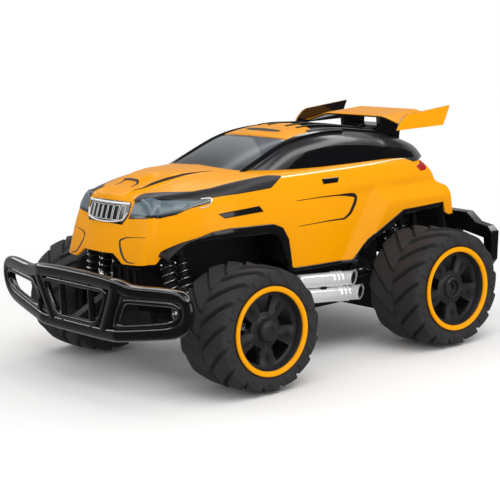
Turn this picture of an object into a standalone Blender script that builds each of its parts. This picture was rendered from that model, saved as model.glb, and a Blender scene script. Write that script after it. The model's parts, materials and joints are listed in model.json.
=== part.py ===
"""Radio-controlled monster truck: sprung chassis, steered front wheels, geared rear axle, moulded body.

Lengths are in millimetres and MM turns them into Blender's metres. The truck drives along +X, its left
side is +Y, and the ground under the middle of the wheelbase is the origin.
"""

import math

import bmesh
import bpy
from mathutils import Matrix, Vector

MM = 0.001

# Wheels
WHEELBASE = 201.0
TRACK_OUTER = 283.0
TYRE_RADIUS = 50.0
TYRE_WIDTH = 61.4
LUG_COUNT = 16
LUG_HEIGHT = 3.2
LUG_SWEEP = math.radians(15.0)
TREAD_GAP = 1.6
KNOB_PROUD = 1.0
TYRE_WALL = 4.0
BEAD_SETBACK = 4.2
BEAD_RISE = 5.5
RIM_RADIUS = 33.0
RIM_LIP_RADIUS = 35.5
RIM_WALL = 2.6
RIM_WINDOWS = 5
RIM_SIDES = 16
HUB_RADIUS = 9.0
AXLE_RADIUS = 3.0
HUB_BACK = 6.0
FRONT_AXLE_X = WHEELBASE / 2
REAR_AXLE_X = -WHEELBASE / 2
WHEEL_Y = (TRACK_OUTER - TYRE_WIDTH) / 2
WHEEL_Z = TYRE_RADIUS

# Fits: the gap between neighbours that stay together, and between those that run on each other
FIT = 0.3
RUN = 0.4

# How far in from the wheel, the kingpin and the body's side the pieces beside them lie
BODY_GAP = 1.1
HUB_GAP = 2.8
KINGPIN_INSET = 20.8
FRONT_SHOCK_INSET = 40.0
REAR_SHOCK_INSET = 8.0
TUB_INSET = 29.0
PIPE_INSET = 7.5
ROOF_INSET = 32.0
BODY_HALF_WIDTH = WHEEL_Y - TYRE_WIDTH / 2 - BODY_GAP
TUB_HALF_WIDTH = BODY_HALF_WIDTH - TUB_INSET

# Front suspension and steering
ARM_PIVOT_Y = 28.0
ARM_PIVOT_Z = 50.0
ARM_TUBE_RADIUS = 4.0
TRUNNION_RADIUS = 2.2
KINGPIN_Y = WHEEL_Y - KINGPIN_INSET
KINGPIN_RADIUS = 3.0
KNUCKLE_HEIGHT = 22.0
KNUCKLE_WIDTH = 12.4
EAR_THICKNESS = 5.0
STEER_ARM = 18.0
STEER_PIN_RADIUS = 1.6
STEER_SLOT_PLAY = 1.7
LINK_Z = 51.0
LINK_HEIGHT = 4.0
LINK_WIDTH = 5.0
SERVO_LENGTH = 28.5
SERVO_WIDTH = 20.0
SERVO_HEIGHT = 12.7

# Coil-over shocks, two on each corner
SHOCK_LEAN = 11.0
SHOCK_RISE = 52.0
SHOCK_SPACING = 13.6
SHOCK_BODY_RADIUS = 4.0
SHOCK_BODY_LENGTH = 28.0
SHOCK_ROD_RADIUS = 1.5
SHOCK_EYE_RADIUS = 4.0
SHOCK_EYE_WIDTH = 4.0
SHOCK_PIN_RADIUS = 2.0
SHOCK_LUG = 5.0
SHOCK_SEAT_RADIUS = 6.4
SHOCK_SEAT_THICKNESS = 2.0
SHOCK_SEAT_OFFSET = 11.0
PIN_PLAY = 0.8
FRONT_SHOCK_AHEAD = 26.5
FRONT_SHOCK_TOP_Y = KINGPIN_Y - FRONT_SHOCK_INSET
FRONT_SHOCK_TOP_Z = 110.0
REAR_SHOCK_BEHIND = 19.5
REAR_SHOCK_TOP_Y = TUB_HALF_WIDTH - REAR_SHOCK_INSET
REAR_SHOCK_TOP_Z = 104.0
SPRING_RADIUS = 5.4
SPRING_WIRE = 1.4
SPRING_COILS = 5
SPRING_POINTS = 8

# Rear live axle and drive
SWING_PIVOT_X = REAR_AXLE_X + 74.5
SWING_PIVOT_Z = 48.0
SWING_PIN_RADIUS = 3.0
TRAIL_ARM_WIDTH = 5.0
TRAIL_ARM_Y = TUB_HALF_WIDTH + TRAIL_ARM_WIDTH
AXLE_TUBE_RADIUS = 8.0
AXLE_TUBE_HALF = WHEEL_Y + HUB_BACK - HUB_GAP
GEAR_MODULE = 1.5
SPUR_TEETH = 24
PINION_TEETH = 8
GEAR_WIDTH = 8.0
MOTOR_RISE = 8.0
MOTOR_RADIUS = 12.0
MOTOR_LENGTH = 31.0
MOTOR_SHAFT_RADIUS = 1.2
CASE_HALF_WIDTH = 15.0
CASE_WALL = 2.5
CASE_ABOVE_AXLE = 24.0

# Chassis
TUB_FRONT = FRONT_AXLE_X - 55.5
TUB_REAR = REAR_AXLE_X + 42.5
TUB_BOTTOM = 36.0
TUB_TOP = 72.0
TUB_WALL = 2.5
SPINE_HALF_WIDTH = 18.0
SPINE_TOP = 44.0
BULKHEAD_HALF_WIDTH = 21.0
BULKHEAD_TOP = 92.0
BULKHEAD_FRONT = FRONT_AXLE_X + 37.5
RIB_PROUD = 2.5
NOSE_X = FRONT_AXLE_X + 67.5
TAIL_X = REAR_AXLE_X - 62.5
PIVOT_PLATE = 4.0
RAIL_Y = 22.0
RAIL_WIDTH = 8.0
RAIL_BOTTOM = 90.0
RAIL_HEIGHT = 8.0
RAIL_REAR = TAIL_X + 3.0
POST_RADIUS = 4.0
POST_Y = 13.0
FRONT_POST_TOP = 126.0
REAR_POST_X = REAR_AXLE_X - 35.5
REAR_POST_TOP = 126.0
DOOR_REAR = TUB_REAR + 16.0
DOOR_FRONT = TUB_FRONT - 23.0
DOOR_HALF_WIDTH = 17.0
DOOR_THICKNESS = 2.2
CELL_RADIUS = 7.2
CELL_LENGTH = DOOR_FRONT - DOOR_REAR - 12.0
BOARD_Z = 60.0
BOARD_THICKNESS = 1.6
BOARD_LENGTH = CELL_LENGTH - 2.0
BOARD_HALF_WIDTH = 22.0
SWITCH_X = DOOR_FRONT + 8.0
SWITCH_TRAVEL = 4.0

# Body
BODY_WALL = 2.2
LIP_Z = 98.0
SILL_Z = 77.0
ARCH_Z = 123.0
SHOULDER_Z = 124.0
BELT_Z = 157.0
NOSE_LEAN = 0.36
TAIL_LEAN = 0.5
HOOD_CROWN = 8.0
TRIM_WIDTH = 7.0
NOTCH_HALF_WIDTH = 35.0
NOTCH_TOP_HALF = 21.0
NOTCH_RISE = 10.5
LIGHT_TOP_Z = 148.5
LIGHT_BOTTOM_Z = 137.0
LIGHT_INNER_Y = 33.0
TAIL_LIGHT_Z = 143.0
TAIL_LIGHT_REACH = 35.0
CABIN_WALL = 2.0
CABIN_SINK = 12.0
ROOF_Z = 188.5
ROOF_HALF_WIDTH = BODY_HALF_WIDTH - ROOF_INSET
PANEL_THICKNESS = 1.4
PROUD = 0.7

# Wing
WING_RISE = 1.5
WING_DROP = 8.0
FIN_RISE = 5.0
WING_CENTRE_Z = ROOF_Z + WING_RISE
WING_END_Z = WING_CENTRE_Z - WING_DROP
FIN_TOP_Z = WING_CENTRE_Z + FIN_RISE
WING_CENTRE_HALF = 36.0
WING_HALF_WIDTH = 69.5
WING_FRONT = REAR_AXLE_X - 16.5
WING_REAR = WING_FRONT - 41.0
WING_THICKNESS = 2.2
FIN_THICKNESS = 2.4
WING_POST_Y = 24.0
WING_POST_WIDTH = 5.0

# Bars, bumper and pipes
BAR_FRONT = NOSE_X + 22.0
BAR_DEPTH = 9.0
BAR_SWEEP = 15.0
BAR_HALF_WIDTH = 138.0
BAR_TOP = 96.0
BAR_BOTTOM = 46.0
BAR_TUBE = 8.0
BUMPER_REAR = TAIL_X - 27.0
BUMPER_DEPTH = 9.0
BUMPER_HALF_WIDTH = 110.0
BUMPER_TOP = 99.0
BUMPER_BOTTOM = 53.0
PIPE_RADIUS = 6.0
PIPE_Y = BODY_HALF_WIDTH - PIPE_INSET
PIPE_LENGTH = 64.0
PIPE_UPPER_TAIL = REAR_AXLE_X + 50.5
PIPE_UPPER_Z = 60.5
PIPE_LOWER_TAIL = REAR_AXLE_X + 42.5
PIPE_LOWER_Z = 46.8

# Places that follow from the sizes above
FRONT_SHOCK_X = FRONT_AXLE_X + FRONT_SHOCK_AHEAD
REAR_SHOCK_X = REAR_AXLE_X - REAR_SHOCK_BEHIND
LINK_X = FRONT_AXLE_X - STEER_ARM
SHOCK_LENGTH = math.hypot(SHOCK_LEAN, SHOCK_RISE)
PIVOT_PLATE_REAR = LINK_X + STEER_PIN_RADIUS + STEER_SLOT_PLAY + RUN + 3.2
ARM_REAR = PIVOT_PLATE_REAR + PIVOT_PLATE + FIT
ARM_FRONT = BULKHEAD_FRONT - 2.0
GEAR_DISTANCE = GEAR_MODULE * (SPUR_TEETH + PINION_TEETH) / 2
MOTOR_X = REAR_AXLE_X + math.sqrt(GEAR_DISTANCE**2 - MOTOR_RISE**2)
MOTOR_Z = WHEEL_Z + MOTOR_RISE
SERVO_FRONT = LINK_X - STEER_PIN_RADIUS - STEER_SLOT_PLAY - RUN - 3.8
SERVO_BOTTOM = SPINE_TOP + FIT


# Scene and materials
def clear_scene():
    for obj in list(bpy.data.objects):
        bpy.data.objects.remove(obj, do_unlink=True)


def material(name, colour, roughness, metallic=0.0):
    mat = bpy.data.materials.new(name)
    mat.use_nodes = True
    shader = mat.node_tree.nodes["Principled BSDF"]
    shader.inputs["Base Color"].default_value = (*colour, 1.0)
    shader.inputs["Roughness"].default_value = roughness
    shader.inputs["Metallic"].default_value = metallic
    return mat


def make_materials():
    return {
        "rubber": material("rubber", (0.02, 0.02, 0.022), 0.75),
        "orange": material("orange_abs", (0.93, 0.33, 0.0), 0.2),
        "gloss_black": material("gloss_black_abs", (0.012, 0.012, 0.013), 0.15),
        "black": material("black_nylon", (0.02, 0.02, 0.02), 0.5),
        "steel": material("steel", (0.6, 0.6, 0.6), 0.3, 1.0),
        "chrome": material("chrome_plate", (0.8, 0.8, 0.8), 0.08, 1.0),
        "lens": material("smoked_lens", (0.2, 0.26, 0.3), 0.1),
        "red": material("red_lens", (0.6, 0.02, 0.01), 0.15),
        "brass": material("brass", (0.7, 0.5, 0.2), 0.3, 1.0),
        "white": material("white_nylon", (0.8, 0.8, 0.75), 0.4),
        "board": material("circuit_board", (0.02, 0.2, 0.06), 0.5),
        "wrap": material("battery_wrap", (0.03, 0.1, 0.35), 0.35),
    }


# Shape helpers: each makes one closed object in world coordinates
def point(x, y, z):
    return Vector((x, y, z)) * MM


def from_bmesh(bm, name="shape"):
    bmesh.ops.recalc_face_normals(bm, faces=bm.faces)
    mesh = bpy.data.meshes.new(name)
    bm.to_mesh(mesh)
    bm.free()
    obj = bpy.data.objects.new(name, mesh)
    bpy.context.collection.objects.link(obj)
    return obj


def skin(rings, warped=False):
    """Faces between rings of equal length and on both ends; a warped skin is split alike on both sides."""
    bm = bmesh.new()
    loops = [[bm.verts.new(p) for p in ring] for ring in rings]
    for a, b in zip(loops, loops[1:]):
        for i in range(len(a)):
            j = (i + 1) % len(a)
            if not warped:
                bm.faces.new((a[i], a[j], b[j], b[i]))
            elif i < len(a) // 2:
                bm.faces.new((a[i], a[j], b[j]))
                bm.faces.new((a[i], b[j], b[i]))
            else:
                bm.faces.new((a[i], a[j], b[i]))
                bm.faces.new((a[j], b[j], b[i]))
    bm.faces.new(loops[0])
    bm.faces.new(loops[-1])
    return from_bmesh(bm)


def prism(outline, axis, low, high):
    """An outline of (y, z), (x, z) or (x, y) points, extruded along x, y or z."""
    place = {
        "x": lambda a, b, h: point(h, a, b),
        "y": lambda a, b, h: point(a, h, b),
        "z": lambda a, b, h: point(a, b, h),
    }[axis]
    return skin([[place(a, b, h) for a, b in outline] for h in (low, high)])


def box(x, y, z):
    """A block from its (low, high) pairs along x, y and z."""
    corners = [(x[0], y[0]), (x[1], y[0]), (x[1], y[1]), (x[0], y[1])]
    return prism(corners, "z", z[0], z[1])


def circle(radius, sides, centre=(0.0, 0.0), start=0.0):
    steps = [start + math.tau * i / sides for i in range(sides)]
    return [(centre[0] + radius * math.cos(a), centre[1] + radius * math.sin(a)) for a in steps]


def rod(axis, centre, radius, low, high, sides=10):
    """A round bar along x, y or z through centre, the other two coordinates in order."""
    return prism(circle(radius, sides, centre), axis, low, high)


def lathe(profile, start, direction, sides):
    """A closed profile of (radius, distance) points, turned about the line from start along direction."""
    bm = bmesh.new()
    axis = Vector(direction).normalized()
    turn = axis.to_track_quat("Z", "Y").to_matrix()
    rings = []
    for radius, distance in profile:
        middle = Vector(start) + axis * distance
        spokes = circle(radius, sides) if radius > 0.0 else [(0.0, 0.0)]
        rings.append([bm.verts.new((middle + turn @ Vector((a, b, 0.0))) * MM) for a, b in spokes])
    for a, b in zip(rings, rings[1:] + rings[:1]):
        for i in range(sides):
            j = (i + 1) % sides
            corners = [a[i % len(a)], a[j % len(a)], b[j % len(b)], b[i % len(b)]]
            face = list(dict.fromkeys(corners))
            if len(face) > 2:
                bm.faces.new(face)
    return from_bmesh(bm)


def joined(shapes):
    """Separate shapes as one object, for cutting with."""
    bm = bmesh.new()
    for shape in shapes:
        bm.from_mesh(shape.data)
        bpy.data.objects.remove(shape)
    return from_bmesh(bm)


def boolean(target, tool, operation):
    step = target.modifiers.new(operation, "BOOLEAN")
    step.operation = operation
    step.object = tool
    bpy.context.view_layer.update()
    evaluated = target.evaluated_get(bpy.context.evaluated_depsgraph_get())
    mesh = bpy.data.meshes.new_from_object(evaluated)
    target.modifiers.clear()
    target.data = mesh
    bpy.data.objects.remove(tool)
    return target


def union(first, *others):
    for other in others:
        boolean(first, other, "UNION")
    return first


def cut(first, *others):
    for other in others:
        boolean(first, other, "DIFFERENCE")
    return first


def common(first, other):
    return boolean(first, other, "INTERSECT")


def copied(obj):
    twin = obj.copy()
    twin.data = obj.data.copy()
    bpy.context.collection.objects.link(twin)
    return twin


def soften(obj, width, angle=30.0):
    """Rounds the sharp edges of a moulding."""
    bm = bmesh.new()
    bm.from_mesh(obj.data)
    bmesh.ops.remove_doubles(bm, verts=bm.verts, dist=1e-6)
    bmesh.ops.dissolve_limit(bm, angle_limit=math.radians(1.0), verts=bm.verts, edges=bm.edges)
    edges = [e for e in bm.edges if e.calc_face_angle(0.0) > math.radians(angle)]
    bmesh.ops.bevel(
        bm, geom=edges, offset=width * MM, segments=1, affect="EDGES", clamp_overlap=True
    )
    bm.to_mesh(obj.data)
    bm.free()
    return obj


def finish(obj, name, mat, origin=(0.0, 0.0, 0.0)):
    """Names the piece, puts its origin where it turns or sits, and gives it its material."""
    place = point(*origin)
    obj.data.transform(Matrix.Translation(-place))
    obj.location = place
    obj.name = name
    obj.data.name = name
    obj.data.materials.clear()
    obj.data.materials.append(mat)
    obj.data.shade_smooth()
    obj.data.set_sharp_from_angle(angle=math.radians(30.0))
    return obj


def mirrored(obj, name):
    """The right-hand twin of a left-hand piece."""
    twin = copied(obj)
    twin.data.transform(Matrix.Scale(-1.0, 4, (0.0, 1.0, 0.0)))
    twin.data.flip_normals()
    twin.location.y = -obj.location.y
    twin.name = name
    twin.data.name = name
    return twin


def pair(obj, stem, mat, origin):
    """Finishes the left-hand piece and adds its mirror image."""
    left = finish(obj, f"{stem}_left", mat, origin)
    return left, mirrored(left, f"{stem}_right")


# Wheels
def tyre_rings():
    """Cross-section of the carcass as (offset, radius), from the inner bead over the tread and back."""
    half = TYRE_WIDTH / 2 - KNOB_PROUD
    tread = TYRE_RADIUS - LUG_HEIGHT
    bead = RIM_RADIUS + FIT
    outer = [
        (half - BEAD_SETBACK, bead),
        (half, bead + BEAD_RISE),
        (half, tread - 6.5),
        (half - 5.0, tread - 0.8),
        (TREAD_GAP, tread),
    ]
    inside = [(half - TYRE_WALL - 3.0, bead), (half - TYRE_WALL, tread - TYRE_WALL)]
    over = [(-a, r) for a, r in outer] + [(a, r) for a, r in reversed(outer)]
    return over + inside + [(-a, r) for a, r in reversed(inside)]


def lug_lift(offset, radius):
    """Where a point of the carcass goes on top of a lug: out from the tread, and proud of the side."""
    half = TYRE_WIDTH / 2 - KNOB_PROUD
    if abs(offset) > half - 1.0:
        return math.copysign(half + KNOB_PROUD, offset), radius + 0.8
    tread = TYRE_RADIUS - LUG_HEIGHT
    return offset, radius + LUG_HEIGHT if radius > tread - 0.1 else radius + LUG_HEIGHT - 0.3


def tyre(centre):
    """Hollow carcass whose tread carries two staggered rows of swept lugs."""
    bm = bmesh.new()
    rings = tyre_rings()
    columns = 2 * LUG_COUNT
    half = TYRE_WIDTH / 2

    def at(offset, radius, column):
        sweep = LUG_SWEEP * (TREAD_GAP - abs(offset)) / half
        angle = -math.pi / 2 + math.tau * column / columns + sweep
        x = centre[0] + radius * math.cos(angle)
        z = centre[2] + radius * math.sin(angle)
        return point(x, centre[1] + offset, z)

    grid = [[bm.verts.new(at(a, r, c)) for c in range(columns)] for a, r in rings]
    lugs = {(2, 3): 0, (5, 6): 1}
    for i in range(len(rings)):
        j = (i + 1) % len(rings)
        for c in range(columns):
            if any(i in strips and c % 2 == phase for strips, phase in lugs.items()):
                continue
            d = (c + 1) % columns
            bm.faces.new((grid[i][c], grid[i][d], grid[j][d], grid[j][c]))
    for strips, phase in lugs.items():
        rows = [*strips, strips[-1] + 1]
        for c in range(phase, columns, 2):
            sides = [c, (c + 1) % columns]
            base = [[grid[i][s] for s in sides] for i in rows]
            tops = [[bm.verts.new(at(*lug_lift(*rings[i]), s)) for s in sides] for i in rows]
            for k in range(len(strips)):
                bm.faces.new((tops[k][0], tops[k][1], tops[k + 1][1], tops[k + 1][0]))
                for s in (0, 1):
                    bm.faces.new((base[k][s], base[k + 1][s], tops[k + 1][s], tops[k][s]))
            for k in (0, -1):
                bm.faces.new((base[k][0], base[k][1], tops[k][1], tops[k][0]))
    return from_bmesh(bm)


def rim_profile(driven):
    """Barrel, spoke disc and hub as (radius, offset), offsets growing towards the wheel's outer face."""
    half = TYRE_WIDTH / 2
    bead_face = half - KNOB_PROUD - BEAD_SETBACK * 0.4
    disc = half - 10.0
    bore = AXLE_RADIUS + (FIT if driven else RUN)
    inner = RIM_RADIUS - RIM_WALL
    barrel = [
        (HUB_RADIUS, HUB_BACK),
        (HUB_RADIUS, disc - 3.6),
        (inner, disc - 3.6),
        (inner, -bead_face - 2.1),
        (RIM_LIP_RADIUS - 0.6, -bead_face - 2.1),
        (RIM_LIP_RADIUS - 0.6, -bead_face),
        (RIM_RADIUS, -bead_face),
        (RIM_RADIUS, bead_face),
        (RIM_LIP_RADIUS, bead_face),
        (RIM_LIP_RADIUS, half - 1.2),
        (RIM_LIP_RADIUS - 1.2, half - 0.2),
        (RIM_RADIUS - 1.4, half - 1.6),
        (inner - 2.0, disc),
        (HUB_RADIUS + 1.2, disc),
    ]
    if driven:
        socket = HUB_RADIUS - 2.5
        hub = [(HUB_RADIUS, half - 6.0), (socket, half - 6.0), (socket, disc + 1.0), (bore, disc + 1.0)]
    else:
        hub = [(HUB_RADIUS, half - 3.4), (0.0, half - 3.0), (0.0, half - 6.0), (bore, half - 6.0)]
    return barrel + hub + [(bore, HUB_BACK)]


def rim(centre, driven):
    """Turned profile with a ring of tapered windows through the spoke disc."""
    shape = lathe(rim_profile(driven), centre, (0.0, 1.0, 0.0), RIM_SIDES)
    disc = centre[1] + TYRE_WIDTH / 2 - 10.0
    near, far = HUB_RADIUS + 5.5, RIM_RADIUS - RIM_WALL - 3.0
    corners = [(near, -0.26), (far, -0.31), (far, 0.31), (near, 0.26)]
    cutters = []
    for k in range(RIM_WINDOWS):
        middle = math.pi / 2 + math.tau * k / RIM_WINDOWS
        spots = [(r, middle + a) for r, a in corners]
        outline = [(centre[0] + r * math.cos(a), centre[2] + r * math.sin(a)) for r, a in spots]
        cutters.append(prism(outline, "y", disc - 6.0, disc + 3.0))
    return cut(shape, joined(cutters))


def make_wheels(mats):
    for end, axle_x, driven in (("front", FRONT_AXLE_X, False), ("rear", REAR_AXLE_X, True)):
        centre = (axle_x, WHEEL_Y, WHEEL_Z)
        pair(tyre(centre), f"tyre_{end}", mats["rubber"], centre)
        pair(rim(centre, driven), f"rim_{end}", mats["gloss_black"], centre)


# Front suspension and steering
def front_arm():
    """Lower arm with its pivot tube, shock lug and the C-shaped carrier that holds the knuckle."""
    tube = rod("x", (ARM_PIVOT_Y, ARM_PIVOT_Z), ARM_TUBE_RADIUS, ARM_REAR, ARM_FRONT)
    trunnion = rod(
        "x", (ARM_PIVOT_Y, ARM_PIVOT_Z), TRUNNION_RADIUS, ARM_REAR - PIVOT_PLATE, ARM_FRONT + PIVOT_PLATE, 12
    )
    lug_y = FRONT_SHOCK_TOP_Y + SHOCK_LEAN
    lug_z = FRONT_SHOCK_TOP_Z - SHOCK_RISE
    web_in, web_out = KINGPIN_Y - 13.5, KINGPIN_Y - 8.5
    half = KNUCKLE_WIDTH / 2 + 2.0
    lug_front = FRONT_SHOCK_X + SHOCK_LUG / 2
    plate = prism(
        [
            (ARM_REAR + 1.0, ARM_PIVOT_Y),
            (ARM_FRONT - 1.0, ARM_PIVOT_Y),
            (ARM_FRONT - 2.0, lug_y - 8.0),
            (lug_front, lug_y + SHOCK_EYE_RADIUS),
            (FRONT_SHOCK_X - 8.0, lug_y + 8.0),
            (FRONT_AXLE_X + half, web_in + 1.0),
            (FRONT_AXLE_X - half, web_in + 1.0),
            (ARM_REAR + 1.0, ARM_PIVOT_Y + 14.0),
        ],
        "z",
        ARM_PIVOT_Z - 3.5,
        ARM_PIVOT_Z + 2.5,
    )
    well = prism(
        [
            (ARM_REAR + 7.0, ARM_PIVOT_Y + 9.0),
            (FRONT_SHOCK_X - 8.0, ARM_PIVOT_Y + 9.0),
            (FRONT_SHOCK_X - 12.0, lug_y - 2.0),
            (FRONT_AXLE_X + half - 5.0, web_in - 6.0),
            (FRONT_AXLE_X - half + 5.0, web_in - 6.0),
        ],
        "z",
        ARM_PIVOT_Z - 0.5,
        ARM_PIVOT_Z + 9.0,
    )
    top = WHEEL_Z + KNUCKLE_HEIGHT / 2 + RUN
    bottom = WHEEL_Z - KNUCKLE_HEIGHT / 2 - RUN
    reach = KINGPIN_Y + 6.5
    carrier = prism(
        [
            (web_in, bottom - EAR_THICKNESS),
            (reach, bottom - EAR_THICKNESS),
            (reach, bottom),
            (web_out, bottom),
            (web_out, top),
            (reach, top),
            (reach, top + EAR_THICKNESS),
            (web_in, top + EAR_THICKNESS),
        ],
        "x",
        FRONT_AXLE_X - half,
        FRONT_AXLE_X + half,
    )
    lug = prism(
        [
            (lug_y - 7.0, ARM_PIVOT_Z),
            (lug_y + SHOCK_EYE_RADIUS, ARM_PIVOT_Z),
            (lug_y + SHOCK_EYE_RADIUS, lug_z + 2.0),
            (lug_y + 2.0, lug_z + SHOCK_EYE_RADIUS),
            (lug_y - 2.0, lug_z + SHOCK_EYE_RADIUS),
        ],
        "x",
        FRONT_SHOCK_X - SHOCK_LUG / 2,
        lug_front,
    )
    arm = union(tube, trunnion, plate)
    cut(arm, well)
    union(arm, carrier, lug)
    bores = [
        rod("z", (FRONT_AXLE_X, KINGPIN_Y), KINGPIN_RADIUS + RUN, bottom - 9.0, bottom + 1.0),
        rod("z", (FRONT_AXLE_X, KINGPIN_Y), KINGPIN_RADIUS + RUN, top - 1.0, top + 9.0),
        rod("x", (lug_y, lug_z), SHOCK_PIN_RADIUS + PIN_PLAY, FRONT_SHOCK_X - 9.0, FRONT_SHOCK_X + 9.0),
    ]
    return cut(arm, joined(bores))


def knuckle():
    """Steering knuckle with moulded kingpins, the bore of the stub axle and the steering arm's pin."""
    low, high = WHEEL_Z - KNUCKLE_HEIGHT / 2, WHEEL_Z + KNUCKLE_HEIGHT / 2
    half = KNUCKLE_WIDTH / 2
    block = box((FRONT_AXLE_X - half, FRONT_AXLE_X + half), (KINGPIN_Y - 5.5, KINGPIN_Y + 7.0), (low, high))
    peg = rod("z", (FRONT_AXLE_X, KINGPIN_Y), KINGPIN_RADIUS, low - EAR_THICKNESS, high + EAR_THICKNESS)
    boss = rod("y", (FRONT_AXLE_X, WHEEL_Z), AXLE_RADIUS + 3.5, KINGPIN_Y, KINGPIN_Y + 14.0)
    arm_low = LINK_Z + LINK_HEIGHT + RUN
    arm = box((LINK_X - 4.0, FRONT_AXLE_X), (KINGPIN_Y - 4.0, KINGPIN_Y + 4.0), (arm_low, arm_low + 4.5))
    pin = rod("z", (LINK_X, KINGPIN_Y), STEER_PIN_RADIUS, LINK_Z - 8.5, arm_low + 1.0, 10)
    shape = union(block, peg, boss, arm, pin)
    bore = rod("y", (FRONT_AXLE_X, WHEEL_Z), AXLE_RADIUS + FIT, KINGPIN_Y - 3.5, KINGPIN_Y + 20.0)
    return cut(shape, bore)


def stub_axle():
    end = WHEEL_Y + TYRE_WIDTH / 2 - 6.0 - RUN
    axle = rod("y", (FRONT_AXLE_X, WHEEL_Z), AXLE_RADIUS, KINGPIN_Y - 3.2, end)
    collar_low = KINGPIN_Y + 14.0 + FIT
    collar = rod("y", (FRONT_AXLE_X, WHEEL_Z), AXLE_RADIUS + 2.0, collar_low, WHEEL_Y + HUB_BACK - RUN)
    return union(axle, collar)


def slot_x(x, y, low, high):
    """Cutter for a slot along x that lets a steering pin swing."""
    half_length = STEER_PIN_RADIUS + STEER_SLOT_PLAY
    half_width = STEER_PIN_RADIUS + RUN + 0.2
    return box((x - half_length, x + half_length), (y - half_width, y + half_width), (low, high))


def steering_link():
    """Cross link with a slotted eye at each knuckle and one at the servo arm."""
    z = (LINK_Z, LINK_Z + LINK_HEIGHT)
    bar = box((LINK_X - LINK_WIDTH / 2, LINK_X + LINK_WIDTH / 2), (-KINGPIN_Y, KINGPIN_Y), z)
    eye_half = STEER_PIN_RADIUS + STEER_SLOT_PLAY + 2.0
    eyes = (-KINGPIN_Y, 0.0, KINGPIN_Y)
    for y in eyes:
        outline = circle(eye_half, 10, (LINK_X, y), math.pi / 10)
        union(bar, prism(outline, "z", z[0] - 0.2 if y == 0.0 else z[0] - 0.1, z[1] + 0.1))
    return cut(bar, joined([slot_x(LINK_X, y, z[0] - 3.0, z[1] + 3.0) for y in eyes]))


def servo_axis_x():
    return LINK_X - STEER_ARM


def servo():
    """Steering servo case with flanges and its output shaft."""
    rear = SERVO_FRONT - SERVO_LENGTH
    top = SERVO_BOTTOM + SERVO_HEIGHT
    case = box((rear, SERVO_FRONT), (-SERVO_WIDTH / 2, SERVO_WIDTH / 2), (SERVO_BOTTOM, top))
    ear_half = SPINE_HALF_WIDTH - 1.0
    ears = box((rear + 8.0, SERVO_FRONT - 8.0), (-ear_half, ear_half), (SERVO_BOTTOM, SERVO_BOTTOM + 3.0))
    boss = rod("z", (servo_axis_x(), 0.0), 5.0, top - 1.0, top + 1.2)
    shaft = rod("z", (servo_axis_x(), 0.0), 2.4, top, top + 5.0, 12)
    return union(case, ears, boss, shaft)


def servo_arm():
    """Horn on the servo's shaft, whose pin drives the link."""
    low = SERVO_BOTTOM + SERVO_HEIGHT + 1.2 + RUN
    x = servo_axis_x()
    hub = rod("z", (x, 0.0), 5.5, low, low + 3.2)
    arm = box((x, LINK_X + 3.0), (-3.0, 3.0), (low, low + 3.0))
    pin = rod("z", (LINK_X, 0.0), STEER_PIN_RADIUS, LINK_Z, low + 1.0, 10)
    horn = union(hub, arm, pin)
    return cut(horn, rod("z", (x, 0.0), 2.4 + FIT, low - 2.0, low + 6.0, 12))


def make_front(mats):
    pivot = (FRONT_AXLE_X, ARM_PIVOT_Y, ARM_PIVOT_Z)
    kingpin = (FRONT_AXLE_X, KINGPIN_Y, WHEEL_Z)
    pair(front_arm(), "front_arm", mats["black"], pivot)
    pair(knuckle(), "steering_knuckle", mats["black"], kingpin)
    pair(stub_axle(), "stub_axle", mats["steel"], kingpin)
    finish(steering_link(), "steering_link", mats["black"], (LINK_X, 0.0, LINK_Z))
    finish(servo(), "steering_servo", mats["black"], (servo_axis_x(), 0.0, SERVO_BOTTOM))
    finish(servo_arm(), "servo_arm", mats["white"], (servo_axis_x(), 0.0, LINK_Z))


# Coil-over shocks
def shock_frame(x, top_y, top_z):
    """Maps (offset along x, offset across, distance down the shock) to a point in the truck."""
    top = Vector((x, top_y, top_z))
    down = Vector((0.0, SHOCK_LEAN, -SHOCK_RISE)) / SHOCK_LENGTH
    across = Vector((0.0, SHOCK_RISE, SHOCK_LEAN)) / SHOCK_LENGTH
    return lambda along_x, side, depth: top + Vector((along_x, 0.0, 0.0)) + across * side + down * depth


def eye_pair(middle):
    """The eyes of both shocks of a corner and the pin they share."""
    half = SHOCK_SPACING / 2
    reach = SHOCK_EYE_WIDTH / 2
    at = (middle.y, middle.z)
    shape = rod("x", at, SHOCK_PIN_RADIUS, middle.x - half, middle.x + half, 8)
    for x in (middle.x - half, middle.x + half):
        union(shape, rod("x", at, SHOCK_EYE_RADIUS, x - reach, x + reach, 8))
    return shape


def down_axis(at):
    return at(0.0, 0.0, 1.0) - at(0.0, 0.0, 0.0)


def shock_bodies(at):
    """Two damper bodies with spring collars, hung on one pin through their upper eyes."""
    seat, end = SHOCK_SEAT_OFFSET, SHOCK_EYE_RADIUS + SHOCK_BODY_LENGTH
    bore = SHOCK_ROD_RADIUS + RUN
    tube, collar, top = SHOCK_BODY_RADIUS, SHOCK_SEAT_RADIUS, seat - SHOCK_SEAT_THICKNESS
    profile = [
        (0.0, 2.5), (tube, 2.5), (tube, top), (collar, top), (collar, seat), (tube, seat), (tube, end),
        (bore, end), (bore, seat), (0.0, seat),
    ]
    shape = eye_pair(at(0.0, 0.0, 0.0))
    for offset in (-SHOCK_SPACING / 2, SHOCK_SPACING / 2):
        union(shape, lathe(profile, at(offset, 0.0, 0.0), down_axis(at), 8))
    return shape


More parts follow.
